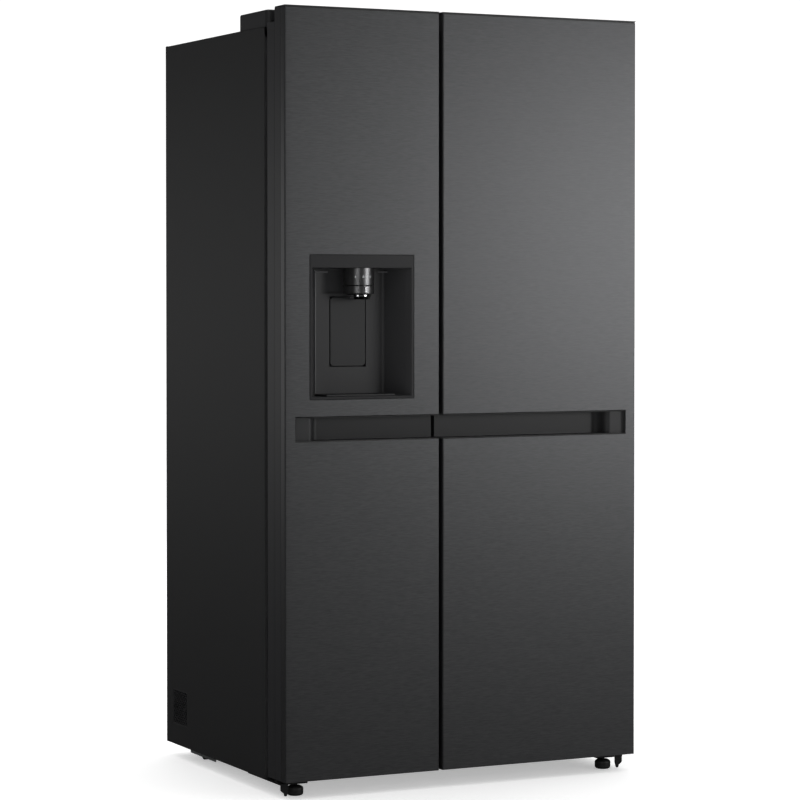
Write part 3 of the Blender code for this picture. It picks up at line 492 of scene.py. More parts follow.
def handle_trough(prefix, direction, latch_x):
    """Draw the trough's plan, raise it, round its corners, open it and give it a wall."""
    end_x = direction * POCKET_END
    scoop_x = direction * SCOOP_X
    plan = [(end_x, 0.0), (end_x, SHELF_DEPTH), (scoop_x, SHELF_DEPTH), (scoop_x, SCOOP_DEPTH)]
    plan += [(latch_x, SCOOP_DEPTH), (latch_x, 0.0)]
    bm = bmesh.new()
    base = bm.faces.new([bm.verts.new((x, front + depth, POCKET_Z[0])) for x, depth in plan])
    pull_out(bm, [base], (0.0, 0.0, POCKET_Z[1] - POCKET_Z[0]))
    bmesh.ops.recalc_face_normals(bm, faces=bm.faces)

    def corner(x, depth):
        spot = Vector((x, front + depth))
        return edges_where(bm, lambda co: (co.xy - spot).length < TINY)

    def ceiling():
        return [f for f in bm.faces if f.calc_center_median().z > POCKET_Z[1] - TINY]

    round_edges(bm, corner(end_x, SHELF_DEPTH), 0.004, 4)
    round_edges(bm, corner(scoop_x, SHELF_DEPTH), 0.014, 7)
    round_edges(bm, corner(scoop_x, SCOOP_DEPTH), 0.021, 9)
    lip = front + UNDERCUT[0]
    split_patch(bm, ceiling(), 1, lip)
    behind = [face for face in ceiling() if face.calc_center_median().y > lip]
    pull_out(bm, behind, (0.0, 0.0, UNDERCUT[1]))
    bmesh.ops.delete(bm, geom=behind, context="FACES_ONLY")
    open_faces = [f for f in bm.faces if all(v.co.y < front + TINY for v in f.verts)]
    latch_faces = [f for f in bm.faces if all(abs(v.co.x - latch_x) < TINY for v in f.verts)]
    bmesh.ops.delete(bm, geom=open_faces + latch_faces, context="FACES")
    bmesh.ops.remove_doubles(bm, verts=bm.verts, dist=0.000005)
    bmesh.ops.recalc_face_normals(bm, faces=bm.faces)
    node = f"{prefix}_handle_pocket"
    piece = finished(f"{prefix}_handle_trough", bm, grey_plastic, f"{prefix}_door", [node], 35)
    thicken(piece, 0.0013, 1, 0.0004)


handle_trough("freezer", -1, freezer_high.x)
handle_trough("fridge", 1, fridge_low.x)


# ---- Dispenser housing ----
# A deep moulded niche with walls that lean in. Behind the spout its back wall is set further back,
# and the pad has a recess of its own. A flat frame flush with the door closes its edge.
niche_black = textured(
    "niche_black", (0.024, 0.024, 0.0252), 0.42, 0.0, 800.0, (1, 1, 1), 0.08, 0.00003, sheen=0.4
)
# The beads are real mouldings, but their grey is lighter and glossier than the niche's: a painted
# highlight for the light caught along their edges.
bead_painted_highlight = textured("bead_painted_highlight", (0.075, 0.075, 0.078), 0.34, 0.0, 800.0, (1, 1, 1), 0.08, 0.00003)
frame_black = textured(
    "frame_black", (0.012, 0.012, 0.013), 0.38, 0.0, 400.0, (1, 1, 1), 0.06, 0.00002, 0.03, 0.3
)
FRAME_EDGE = 0.006
FRAME_HEAD = 0.0295
NICHE_DEPTH = 0.075
NICHE_TAPER = 0.036
FLARE_DEPTH = 0.016
FLARE = 0.0100
PAD_RECESS = 0.0150
SPOUT_RECESS = 0.0045
niche_x = (bezel_low.x + FRAME_EDGE, bezel_high.x - FRAME_EDGE)
niche_z = (bezel_low.z + FRAME_EDGE, bezel_high.z - FRAME_HEAD)
niche_middle = sum(niche_x) / 2
niche_half = (niche_x[1] - niche_x[0]) / 2
lean = (niche_half - NICHE_TAPER) / niche_half
pad_low, pad_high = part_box("dispenser_pad")
recess_x = (pad_low.x + 0.002, pad_high.x - 0.002)
recess_z = (pad_low.z - 0.002, pad_high.z + 0.002)
bm = slab(niche_x, (front, front + NICHE_DEPTH), niche_z)
cut_plane(bm, 1, front + FLARE_DEPTH)
for vert in bm.verts:
    if vert.co.y > front + NICHE_DEPTH / 2:
        vert.co.x = niche_middle + (vert.co.x - niche_middle) * lean
    elif vert.co.y > front + FLARE_DEPTH / 2:
        vert.co.x -= math.copysign(FLARE, vert.co.x - niche_middle)
back_y = front + NICHE_DEPTH
inner_edges = [e for e in sharp_edges(bm) if any(v.co.y > front + 0.001 for v in e.verts)]
round_edges(bm, inner_edges, 0.005, 4)


def push_back(bm, x, z, depth):
    """Sink a rectangle of the niche's back wall."""
    def wall():
        return [f for f in bm.faces if all(abs(v.co.y - back_y) < TINY for v in f.verts)]

    for axis, places in ((0, x), (2, z)):
        for place in places:
            split_patch(bm, wall(), axis, place)
    chosen = []
    for face in wall():
        middle = face.calc_center_median()
        if x[0] < middle.x < x[1] and z[0] < middle.z < z[1]:
            chosen.append(face)
    pull_out(bm, chosen, (0.0, depth, 0.0))
    bmesh.ops.delete(bm, geom=chosen, context="FACES_ONLY")


push_back(bm, recess_x, recess_z, PAD_RECESS)
push_back(bm, (-0.330, -0.203), (1.143, 1.188), SPOUT_RECESS)
remove_faces(bm, lambda co: co.y < front + TINY)
bmesh.ops.recalc_face_normals(bm, faces=bm.faces)
niche = finished("dispenser_niche", bm, niche_black, "freezer_door", ["dispenser_housing"], 35)
thicken(niche, 0.0014, 1)
for polygon in niche.data.polygons:
    polygon.use_smooth = True
bm = slab((bezel_low.x, bezel_high.x), (front, front + 0.0025), (bezel_low.z, bezel_high.z))
for axis, places in ((0, niche_x), (2, niche_z)):
    for place in places:
        cut_plane(bm, axis, place)
hole = [
    face for face in bm.faces
    if abs(face.normal.y) > 0.9
    and niche_x[0] < face.calc_center_median().x < niche_x[1]
    and niche_z[0] < face.calc_center_median().z < niche_z[1]
]
bmesh.ops.bridge_loops(bm, edges=list({edge for face in hole for edge in face.edges}))
bmesh.ops.delete(bm, geom=hole, context="FACES_ONLY")
bmesh.ops.recalc_face_normals(bm, faces=bm.faces)
round_edges(bm, sharp_edges(bm), 0.0007, 3)
dispenser_frame = finished("dispenser_frame", bm, frame_black, "freezer_door", (), 35)


def raised_bead(name, plan, z, width):
    """A low moulded bead: a plan in X and Y carried up between two heights, and rounded, in a
    lighter grey that paints the highlight on its edges.
    """
    bm = bmesh.new()
    base = bm.faces.new([bm.verts.new((x, y, z[0])) for x, y in plan])
    pull_out(bm, [base], (0.0, 0.0, z[1] - z[0]))
    bmesh.ops.recalc_face_normals(bm, faces=bm.faces)
    round_edges(bm, bm.edges[:], width, 2)
    piece = finished(name, bm, bead_painted_highlight, "freezer_door", (), 35)


LEDGE_Z = (1.1908, 1.1932)
left_x = niche_middle - niche_half * lean
right_x = niche_middle + niche_half * lean
start_x = left_x + 0.0035
sunk_y = back_y + 0.0003
proud_y = back_y - 0.0030
turn_y = back_y - 0.0120
left_ledge = [(start_x, sunk_y), (start_x, proud_y), (-0.3180, proud_y), (-0.3160, sunk_y)]
right_ledge = [(-0.1925, sunk_y), (-0.1905, proud_y), (right_x - 0.006, proud_y)]
right_ledge += [(right_x + 0.0045, turn_y), (right_x + 0.0060, turn_y), (right_x - 0.001, sunk_y)]
edge_plan = [(start_x, sunk_y), (start_x, proud_y + 0.001), (left_x + 0.0060, proud_y + 0.001)]
edge_plan += [(left_x + 0.0068, sunk_y)]
raised_bead("niche_ledge_left", left_ledge, LEDGE_Z, 0.0005)
raised_bead("niche_ledge_right", right_ledge, LEDGE_Z, 0.0005)
raised_bead("niche_edge_bead", edge_plan, (niche_z[0] + 0.006, 1.1900), 0.0006)


# ---- Dispenser spout, ring, pad and grille ----
# The spout is a dark chromed moulding: a fixed collar with plain relief symbols, a ring below it
# that turns to choose water, cubes or crushed ice, and a narrow bright tip. The pad behind it is a
# sprung lever, and the drip grille lies on the niche's floor.
dark_chrome = textured(
    "dark_chrome", (0.30, 0.30, 0.305), 0.38, 1.0, 200.0, (1, 1, 1), 0.04, 0.00001, 0.03
)
bright_chrome = textured(
    "bright_chrome", (0.62, 0.62, 0.63), 0.12, 1.0, 200.0, (1, 1, 1), 0.03, 0.00001, 0.03
)
symbol_grey = textured(
    "symbol_grey", (0.42, 0.43, 0.44), 0.45, 0.0, 900.0, (1, 1, 1), 0.06, 0.00001
)
spout_low, spout_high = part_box("dispenser_nozzle")
spout = (spout_low + spout_high) / 2
spout_radius = (spout_high.x - spout_low.x) / 2
SPOUT_BORE = 0.0217
RING_RADIUS = 0.0350
RING_Z = (1.1415, 1.1597)
TIP_TOP = 1.1408
SYMBOL_Z = 1.181
SYMBOL_RELIEF = 0.0005


def lathe(profile, centre, axis="Z", steps=48):
    """Spin a closed or open profile of (radius, height) points about an axis through a centre."""
    bm = bmesh.new()
    verts = [bm.verts.new((radius, 0.0, height)) for radius, height in profile]
    for one, two in zip(verts, verts[1:]):
        bm.edges.new((one, two))
    if min(radius for radius, height in profile) > 0.0001:
        bm.edges.new((verts[-1], verts[0]))
    bmesh.ops.spin(
        bm, geom=bm.verts[:] + bm.edges[:], cent=(0, 0, 0), axis=(0, 0, 1), angle=2 * math.pi,
        steps=steps, use_merge=True, use_duplicate=False,
    )
    bmesh.ops.remove_doubles(bm, verts=bm.verts, dist=0.000001)
    bmesh.ops.recalc_face_normals(bm, faces=bm.faces)
    if axis != "Z":
        turn = {"X": (math.pi / 2, 3, "Y"), "Y": (-math.pi / 2, 3, "X")}[axis]
        bmesh.ops.rotate(bm, verts=bm.verts, cent=(0, 0, 0), matrix=Matrix.Rotation(*turn))
    bmesh.ops.translate(bm, verts=bm.verts, vec=centre)
    return bm


axis_point = (spout.x, spout.y, 0.0)
collar = [(SPOUT_BORE, spout_high.z), (spout_radius, spout_high.z), (spout_radius, 1.1625)]
collar += [(spout_radius - 0.0004, 1.1612), (spout_radius - 0.0014, 1.1605), (0.0237, 1.1605)]
collar += [(0.0237, 1.1410), (0.0265, 1.1405), (0.0278, 1.1392), (0.0278, 1.1362)]
collar += [(0.0262, 1.1342), (0.0255, 1.1295), (0.0245, 1.1288), (0.0228, 1.1288)]
collar += [(SPOUT_BORE, 1.1300)]
bm = lathe(collar, axis_point, steps=64)
chromes = [dark_chrome, bright_chrome]
spout_piece = finished("dispenser_spout", bm, chromes, "freezer_door", ["dispenser_nozzle"], 30)
paint_by_place(spout_piece, lambda co: co.z < TIP_TOP, 1)
ring = [(0.0245, RING_Z[1]), (0.0340, RING_Z[1]), (0.0346, 1.1595), (RING_RADIUS, 1.1588)]
ring += [(RING_RADIUS, 1.1440), (0.0346, 1.1424), (0.0336, 1.1416), (0.0245, RING_Z[0])]
bm = lathe(ring, axis_point, steps=96)
selector = finished("selector_ring", bm, dark_chrome, "selector", ["dispenser_selector"], 30)
pointer_y = (spout.y - RING_RADIUS - 0.0012, spout.y - RING_RADIUS + 0.0005)
bm = slab((spout.x - 0.0014, spout.x + 0.0014), pointer_y, (1.1450, 1.1575))
round_edges(bm, bm.edges[:], 0.0005, 2)
pointer = finished("selector_pointer", bm, bright_chrome, "selector")


def symbol(name, angle, shapes):
    """Raised plain shapes on the collar, each given as (across, up, size, sides)."""
    bm = bmesh.new()
    for across, up, size, sides in shapes:
        turn = math.radians(angle) + across / spout_radius
        outward = Vector((math.sin(turn), -math.cos(turn), 0.0))
        spot = Vector((spout.x, spout.y, SYMBOL_Z + up)) + outward * (spout_radius + TINY)
        matrix = Matrix.Translation(spot) @ outward.to_track_quat("Z", "Y").to_matrix().to_4x4()
        if sides == 4:
            matrix = matrix @ Matrix.Rotation(math.pi / 4, 4, "Z")
        bmesh.ops.create_cone(
            bm, cap_ends=True, segments=sides, radius1=size, radius2=size * 0.9,
            depth=SYMBOL_RELIEF, matrix=matrix,
        )
    piece = finished(name, bm, symbol_grey, "freezer_door")


symbol("symbol_water", -38, [(0.0, -0.0006, 0.0018, 20), (0.0, 0.0016, 0.0010, 3)])
cubes = [(-0.0014, -0.0012, 0.0015, 4), (0.0014, -0.0012, 0.0015, 4), (0.0, 0.0013, 0.0015, 4)]
symbol("symbol_cubes", -8, cubes)
turns = (0.4, 1.6, 2.8, 4.1, 5.3)
crushed = [(0.0022 * math.cos(a), 0.0022 * math.sin(a), 0.0008, 5) for a in turns]
symbol("symbol_crushed", 22, crushed + [(0.0, 0.0, 0.0008, 5)])

pad_x = (pad_low.x + 0.004, pad_high.x - 0.004)
bm = slab(pad_x, (pad_low.y, pad_low.y + 0.0045), (pad_low.z, pad_high.z))
round_edges(bm, edges_along(bm.edges, 1, 0.001), 0.009, 6)
round_edges(bm, edges_where(bm, lambda co: co.y < pad_low.y + TINY), 0.0012, 3)
pad = finished("pad_plate", bm, grey_plastic, "pad", ["dispenser_pad"], 35)
AXLE_HALF = 0.0485
axle = [(0.0, AXLE_HALF), (0.0019, AXLE_HALF), (0.0019, -AXLE_HALF), (0.0, -AXLE_HALF)]
bm = lathe(axle, (sum(pad_x) / 2, front + 0.0765, 1.130), "X", 16)
pad_axle = finished("pad_axle", bm, black_plastic, "pad")
softened("drip_tray", black_plastic, 0.0005, "freezer_door", "drip_grille", 2)
softened("ice_flap", black_plastic, 0.0005, "flap", "duct_door", 2)


# ---- Case ----
# Three painted steel sheets round the foam. Low at the back of each side a rounded opening holds a
# black moulded grille of crossed bars. The back is a galvanised sheet with pressed ribs.
case_paint = textured(
    "case_paint", (0.0135, 0.0135, 0.0140), 0.50, 0.15, 1400.0, (1, 1, 1), 0.14, 0.00012
)
galvanised = textured(
    "galvanised", (0.46, 0.47, 0.48), 0.38, 0.9, 45.0, (1, 1, 1), 0.16, 0.00002, 0.10
)
VENT_Y = (front + 0.590, front + 0.684)
VENT_Z = (0.082, 0.168)
CASE_FLANGE = 0.0235
BAR_PITCH = 0.0078
BAR = (0.0022, 0.0016, 0.160)
vent_middle = (sum(VENT_Y) / 2, sum(VENT_Z) / 2)
for label, direction in (("left", -1), ("right", 1)):
    low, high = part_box(f"case_side_{label}")
    sheet = (direction * side, direction * (side - SHEET))
    bm = slab(sheet, (low.y, high.y), (low.z, high.z))
    remove_faces(bm, lambda co: abs(co.x - sheet[0]) > TINY)
    for axis, places in ((1, VENT_Y), (2, VENT_Z)):
        for place in places:
            cut_plane(bm, axis, place)
    remove_faces(bm, lambda co: VENT_Y[0] < co.y < VENT_Y[1] and VENT_Z[0] < co.z < VENT_Z[1])
    front_edge = edges_where(bm, lambda co: abs(co.y - low.y) < TINY)
    flange = bmesh.ops.extrude_edge_only(bm, edges=front_edge)
    moved = [item for item in flange["geom"] if isinstance(item, bmesh.types.BMVert)]
    bmesh.ops.translate(bm, verts=moved, vec=(-direction * CASE_FLANGE, 0.0, 0.0))
    bmesh.ops.recalc_face_normals(bm, faces=bm.faces)
    outward = [face for face in bm.faces if abs(face.normal.x) > 0.9]
    if outward and outward[0].normal.x * direction < 0:
        bmesh.ops.reverse_faces(bm, faces=bm.faces)
    node = f"case_side_{label}"
    sheet_piece = finished(f"side_sheet_{label}", bm, case_paint, "cabinet", [node], 35)
    thicken(sheet_piece, SHEET, -1, 0.0003)

    bm = bmesh.new()
    outer_x = direction * (side - 0.0002)
    for bar_angle in (45, -45):
        for bar in range(-9, 10):
            matrix = Matrix.Translation((outer_x - direction * 0.0014, *vent_middle))
            matrix = matrix @ Matrix.Rotation(math.radians(bar_angle), 4, "X")
            matrix = matrix @ Matrix.Translation((0.0, bar * BAR_PITCH, 0.0))
            bmesh.ops.create_cube(bm, size=1.0, matrix=matrix @ Matrix.Diagonal((*BAR, 1.0)))
    for axis, (start, stop) in ((1, VENT_Y), (2, VENT_Z)):
        for place, sign in ((start + 0.0015, -1.0), (stop - 0.0015, 1.0)):
            normal = Vector((0.0, 0.0, 0.0))
            normal[axis] = sign
            cut = bmesh.ops.bisect_plane(
                bm, geom=bm.verts[:] + bm.edges[:] + bm.faces[:], plane_co=normal * place * sign,
                plane_no=normal, dist=0.000001, clear_outer=True,
            )
            borders = [item for item in cut["geom_cut"] if isinstance(item, bmesh.types.BMEdge)]
            bmesh.ops.holes_fill(bm, edges=borders, sides=0)
    lattice = finished(f"vent_lattice_{label}", bm, black_plastic, "cabinet")
    bm = slab((outer_x, outer_x - direction * 0.004), VENT_Y, VENT_Z)
    ends = [face for face in bm.faces if abs(face.normal.x) > 0.9]
    inset = bmesh.ops.inset_individual(bm, faces=ends, thickness=0.004, depth=0.0)
    inner = [face for face in bm.faces if abs(face.normal.x) > 0.9 and face not in inset["faces"]]
    bmesh.ops.bridge_loops(bm, edges=[edge for face in inner for edge in face.edges])
    bmesh.ops.delete(bm, geom=inner, context="FACES_ONLY")
    bmesh.ops.recalc_face_normals(bm, faces=bm.faces)
    round_edges(bm, sharp_edges(bm), 0.0006, 2)
    rim = finished(f"vent_rim_{label}", bm, black_plastic, "cabinet")

softened("case_top", case_paint, 0.0004, "cabinet", "top_sheet", 2)
softened("rear_spacer", black_plastic, 0.0020, "cabinet", "spacer_bar", 3)
softened("rear_cover", case_paint, 0.0004, "cabinet", "machine_cover", 2)

BACK_SHEET = 0.0006
RIB_EDGE = 0.010
RIB_HEIGHT = 0.003
low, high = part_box("back_panel")
rib_z = (low.z + 0.10, high.z - 0.14)
bm = slab((low.x, high.x), (low.y, high.y), (low.z, high.z))
remove_faces(bm, lambda co: co.y < high.y - TINY)
columns = [low.x + (high.x - low.x) * part for part in (0.10, 0.16, 0.47, 0.53, 0.84, 0.90)]
for place in columns:
    cut_plane(bm, 0, place)
for place in rib_z:
    cut_plane(bm, 2, place)
ribs = []
for face in bm.faces:
    middle = face.calc_center_median()
    tall = rib_z[0] < middle.z < rib_z[1]
    if tall and any(columns[i] < middle.x < columns[i + 1] for i in (0, 2, 4)):
        ribs.append(face)
bmesh.ops.inset_region(bm, faces=ribs, thickness=RIB_EDGE, depth=RIB_HEIGHT, use_even_offset=True)
back_sheet = finished("back_sheet", bm, galvanised, "cabinet", ["back_panel"], 20)
thicken(back_sheet, BACK_SHEET, -1)


# ---- Hinges ----
# Steel arms hold the doors' pins. The upper ones are screwed to the case top under moulded covers.
# The lower ones are black zinc brackets, each with a tapered lug turned down in front of its foot.
hinge_steel = textured(
    "hinge_steel", (0.30, 0.30, 0.31), 0.34, 0.95, 90.0, (1, 1, 1), 0.10, 0.00002
)
black_zinc = textured(
    "black_zinc", (0.022, 0.022, 0.023), 0.34, 0.6, 220.0, (1, 1, 1), 0.14, 0.00003
)


def join_in(bm, part):
    """Copy one bmesh into another."""
    data = bpy.data.meshes.new("part")
    part.to_mesh(data)
    part.free()
    bm.from_mesh(data)
    bpy.data.meshes.remove(data)


def screw_heads(name, places, radius, body, tip=0.0):
    """Pan heads with a raised cross, tipped towards +Y by an angle: one mesh for like screws."""
    bm = bmesh.new()
    for place in places:
        part = bmesh.new()
        matrix = Matrix.Translation(place) @ Matrix.Rotation(-tip, 4, "X")
        bmesh.ops.create_cone(
            part, cap_ends=True, segments=20, radius1=radius, radius2=radius * 0.72,
            depth=radius * 0.5, matrix=matrix @ Matrix.Translation((0.0, 0.0, radius * 0.25)),
        )
        for quarter in (0, 1):
            arm = matrix @ Matrix.Rotation(quarter * math.pi / 2 + 0.4, 4, "Z")
            arm = arm @ Matrix.Translation((0.0, 0.0, radius * 0.5))
            arm = arm @ Matrix.Diagonal((radius * 0.9, radius * 0.18, radius * 0.08, 1.0))
            bmesh.ops.create_cube(part, size=1.0, matrix=arm)
        join_in(bm, part)
    piece = finished(name, bm, hinge_steel, body)


LUG_STEPS = ((0.0, 0.0, -0.010), (0.55, 0.0035, 0.007), (0.45, -0.0005, 0.006))
HINGE_SCREWS = ((0.036, 0.150), (0.080, 0.150), (0.036, 0.215), (0.080, 0.215))
HINGE_PLATE = 0.0045
COVER_MOUTH = 1.7645
PIN_INSET = 0.023


plate_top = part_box("case_top")[1].z + HINGE_PLATE
for label, direction in (("left", -1), ("right", 1)):
    arm = f"upper_hinge_{label}"
    softened(arm, hinge_steel, 0.0007, "cabinet", f"hinge_arm_{label}")
    bm = solid_copy(f"lower_hinge_{label}")
    lug = [vert for vert in bm.verts if vert.co.z < 0.0075]
    lug_faces = [f for f in bm.faces if all(vert in lug for vert in f.verts)]
    for shrink, slide, drop in LUG_STEPS:
        if drop > 0:
            grown = bmesh.ops.extrude_face_region(bm, geom=lug_faces)
            bmesh.ops.delete(bm, geom=lug_faces, context="FACES_ONLY")
            lug = [item for item in grown["geom"] if isinstance(item, bmesh.types.BMVert)]
            lug_faces = [item for item in grown["geom"] if isinstance(item, bmesh.types.BMFace)]
        lug_x = sum(vert.co.x for vert in lug) / len(lug)
        for vert in lug:
            vert.co.x += (lug_x - vert.co.x) * shrink - direction * slide
            vert.co.z -= drop
    round_edges(bm, sharp_edges(bm, 0.5), 0.0010, 3)
    node = f"lower_hinge_{label}"
    bracket = finished(f"hinge_bracket_{label}", bm, black_zinc, "cabinet", [node], 40)
    places = [
        (direction * (side - across), front + depth, plate_top) for across, depth in HINGE_SCREWS
    ]
    screw_heads(f"hinge_screws_{label}", places, 0.0055, "cabinet")
    low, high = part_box(f"hinge_cover_{label}")
    bm = slab((low.x, high.x), (low.y, high.y), (low.z, high.z))
    remove_faces(bm, lambda co: co.z < low.z + TINY)
    round_edges(bm, edges_along(bm.edges, 2, 0.01), 0.012, 6)
    crown = edges_where(bm, lambda co: co.z > high.z - TINY)
    crown = [e for e in crown if e.calc_face_angle(0.0) > 0.5]
    round_edges(bm, crown, 0.0045, 4)
    pivot_x = direction * (side - PIN_INSET)
    slot_x = sorted((pivot_x + direction * 0.0065, pivot_x - direction * 0.037))
    for place in slot_x:
        cut_plane(bm, 0, place)
    cut_plane(bm, 2, COVER_MOUTH)
    remove_faces(
        bm, lambda co: slot_x[0] < co.x < slot_x[1] and co.z < COVER_MOUTH and co.y < low.y + 0.002
    )
    node = f"hinge_cover_{label}"
    cover = finished(f"hinge_shell_{label}", bm, black_plastic, "cabinet", [node], 35)
    thicken(cover, 0.0020, -1, 0.0004)


# ---- Feet and rollers ----
# The front stands on two turned plastic feet, each on a screw through its bracket. The back runs on
# two small rollers whose short axles turn in the base rails.
foot_plastic = textured(
    "foot_plastic", (0.010, 0.010, 0.010), 0.5, 0.0, 600.0, (1, 1, 1), 0.15, 0.00006
)
SCREW_RADIUS = 0.0050
THREAD = 0.0018
foot = [(0.0, 0.0365), (0.0042, 0.0365), (SCREW_RADIUS, 0.0357)]
for turn in range(7):
    level = 0.0350 - turn * THREAD
    foot += [(SCREW_RADIUS, level), (SCREW_RADIUS - 0.0006, level - THREAD / 2)]
foot += [(SCREW_RADIUS, 0.0225), (0.0125, 0.0225), (0.0138, 0.0218), (0.0165, 0.0200)]
foot += [(0.0182, 0.0186), (0.0190, 0.0168), (0.0190, 0.0120), (0.0186, 0.0114), (0.0190, 0.0108)]
foot += [(0.0190, 0.0062), (0.0186, 0.0040), (0.0172, 0.0018), (0.0150, 0.0004), (0.0138, 0.0)]
foot += [(0.0, 0.0)]
half = [(0.0, 0.0155), (0.0024, 0.0155), (0.0030, 0.0150), (0.0030, 0.0100), (0.0070, 0.0095)]
half += [(0.0085, 0.0080), (0.0115, 0.0080), (0.0125, 0.0095), (0.0140, 0.0095), (0.0148, 0.0090)]
half += [(0.0150, 0.0080)]
wheel = half + [(radius, -height) for radius, height in reversed(half)]
for label in ("left", "right"):
    low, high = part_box(f"foot_{label}")
    bm = lathe(foot, ((low.x + high.x) / 2, (low.y + high.y) / 2, 0.0))
    node = f"foot_{label}"
    finished(f"levelling_foot_{label}", bm, foot_plastic, node, [node])
    low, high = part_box(f"roller_{label}")
    bm = lathe(wheel, (low + high) / 2, "X", 40)
    node = f"roller_{label}"
    finished(f"rear_roller_{label}", bm, foot_plastic, node, [node])


# ---- Cold rooms ----
# Each room is one white sheet, vacuum-formed with round corners and a step over the machine room,
# and turned out over the front of the foam. Ledges on its walls carry glass shelves in moulded rims.
WALL = 0.0018
STEP_FRONT = 0.075
STEP_TOP = 0.345
ROOM_REAR = 0.3025
ROOM_Z = (0.115, 1.695)
LAMP_Z = (1.6845, 1.6928)
case_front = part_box("case_top")[0].y
ROOMS = {"freezer": (-0.4015, -0.090), "fridge": (-0.036, 0.4015)}
frosted = textured("frosted_trim", (0.55, 0.57, 0.58), 0.42, 0.0, 500.0, (1, 1, 1), 0.03, 0.00004)
lamp_lens = textured("lamp_lens", (0.88, 0.88, 0.86), 0.25, 0.0, 500.0, (1, 1, 1), 0.02, 0.00003)
glass = textured(
    "shelf_glass", (0.80, 0.89, 0.87), 0.05, 0.0, 100.0, (1, 1, 1), 0.01, 0.00001, 0.02
)
glass.node_tree.nodes["Principled BSDF"].inputs["Transmission Weight"].default_value = 0.92
foam_yellow = textured("foam_yellow", (0.60, 0.57, 0.50), 0.9, 0.0, 120.0, (1, 1, 1), 0.10, 0.0008)


def room_liner(prefix):
    """Draw the room's side view, stretch it across, round it, and fold the flange out."""
    span = ROOMS[prefix]
    flange_low, flange_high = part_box(f"{prefix}_liner")
    x = (span[0] + WALL, span[1] - WALL)
    low, high = ROOM_Z[0] + WALL, ROOM_Z[1] - WALL
    rear, step = ROOM_REAR - WALL, STEP_FRONT - WALL
    side_view = [(case_front, low), (step, low), (step, STEP_TOP + WALL), (rear, STEP_TOP + WALL)]
    side_view += [(rear, high), (case_front, high)]
    bm = bmesh.new()
    base = bm.faces.new([bm.verts.new((x[0], y, z)) for y, z in side_view])
    pull_out(bm, [base], (x[1] - x[0], 0.0, 0.0))
    remove_faces(bm, lambda co: co.y < case_front + TINY)
    bmesh.ops.recalc_face_normals(bm, faces=bm.faces)
    deep = [e for e in bm.edges if e.is_manifold]
    round_edges(bm, deep, 0.014, 5)
    rim = [e for e in bm.edges if e.is_boundary]
    lip = bmesh.ops.extrude_edge_only(bm, edges=rim)
    middle_x, middle_z = sum(x) / 2, (low + high) / 2
    for item in lip["geom"]:
        if isinstance(item, bmesh.types.BMVert):
            end_x = flange_low.x if item.co.x < middle_x else flange_high.x
            end_z = flange_low.z if item.co.z < middle_z else flange_high.z
            from_x = x[0] if item.co.x < middle_x else x[1]
            from_z = low if item.co.z < middle_z else high
            item.co.x = middle_x + (item.co.x - middle_x) * (end_x - middle_x) / (from_x - middle_x)
            item.co.z = middle_z + (item.co.z - middle_z) * (end_z - middle_z) / (from_z - middle_z)
    bmesh.ops.recalc_face_normals(bm, faces=bm.faces)
    back = max(bm.faces, key=lambda face: face.calc_center_median().y)
    if back.normal.y < 0:
        bmesh.ops.reverse_faces(bm, faces=bm.faces)
    liner = finished(f"{prefix}_room", bm, white_plastic, "cabinet", [f"{prefix}_liner"], 35)
    thicken(liner, WALL, 1)


def glass_shelf(node):
    """A pane held in a front trim, a rear trim and two side rails, with ledges under it."""
    low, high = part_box(node)
    pane_y = (low.y + 0.006, high.y - 0.004)
    bm = slab((low.x + 0.004, high.x - 0.004), pane_y, (low.z + 0.0012, low.z + 0.0050))
    round_edges(bm, bm.edges[:], 0.0006, 2)
    finished(f"{node}_pane", bm, glass, "cabinet", [node])
    bm = slab((low.x, high.x), (low.y, low.y + 0.016), (low.z - 0.004, high.z + 0.001))
    add_slab(bm, (low.x, high.x), (high.y - 0.012, high.y), (low.z - 0.001, high.z))
    for x in (low.x, high.x - 0.007):
        add_slab(bm, (x, x + 0.007), (low.y + 0.0162, high.y - 0.0122), (low.z, high.z))
    round_edges(bm, bm.edges[:], 0.0012, 2)
    finished(f"{node}_trim", bm, frosted, "cabinet")
    bm = bmesh.new()
    for x in ((low.x - 0.0008, low.x + 0.007), (high.x - 0.007, high.x + 0.0008)):
        add_slab(bm, x, (low.y + 0.020, high.y - 0.014), (low.z - 0.011, low.z - 0.0004))
    round_edges(bm, bm.edges[:], 0.0015, 2)
    finished(f"{node}_ledges", bm, white_plastic, "cabinet")


for prefix, count in (("freezer", 2), ("fridge", 3)):
    room_liner(prefix)
    for number in range(1, count + 1):
        glass_shelf(f"{prefix}_shelf_{number}")
softened("cabinet_foam", foam_yellow, 0.0008, "cabinet", "insulation", 1)
foam_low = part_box("cabinet_foam")[0]
flange_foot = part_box("freezer_liner")[0].z
sill_z = (foam_low.z - 0.0004, flange_foot - 0.0003)
bm = slab((-side + 0.0015, side - 0.0015), (case_front - 0.0006, case_front + 0.0030), sill_z)
round_edges(bm, bm.edges[:], 0.0003, 2)
finished("front_sill", bm, case_paint, "cabinet")

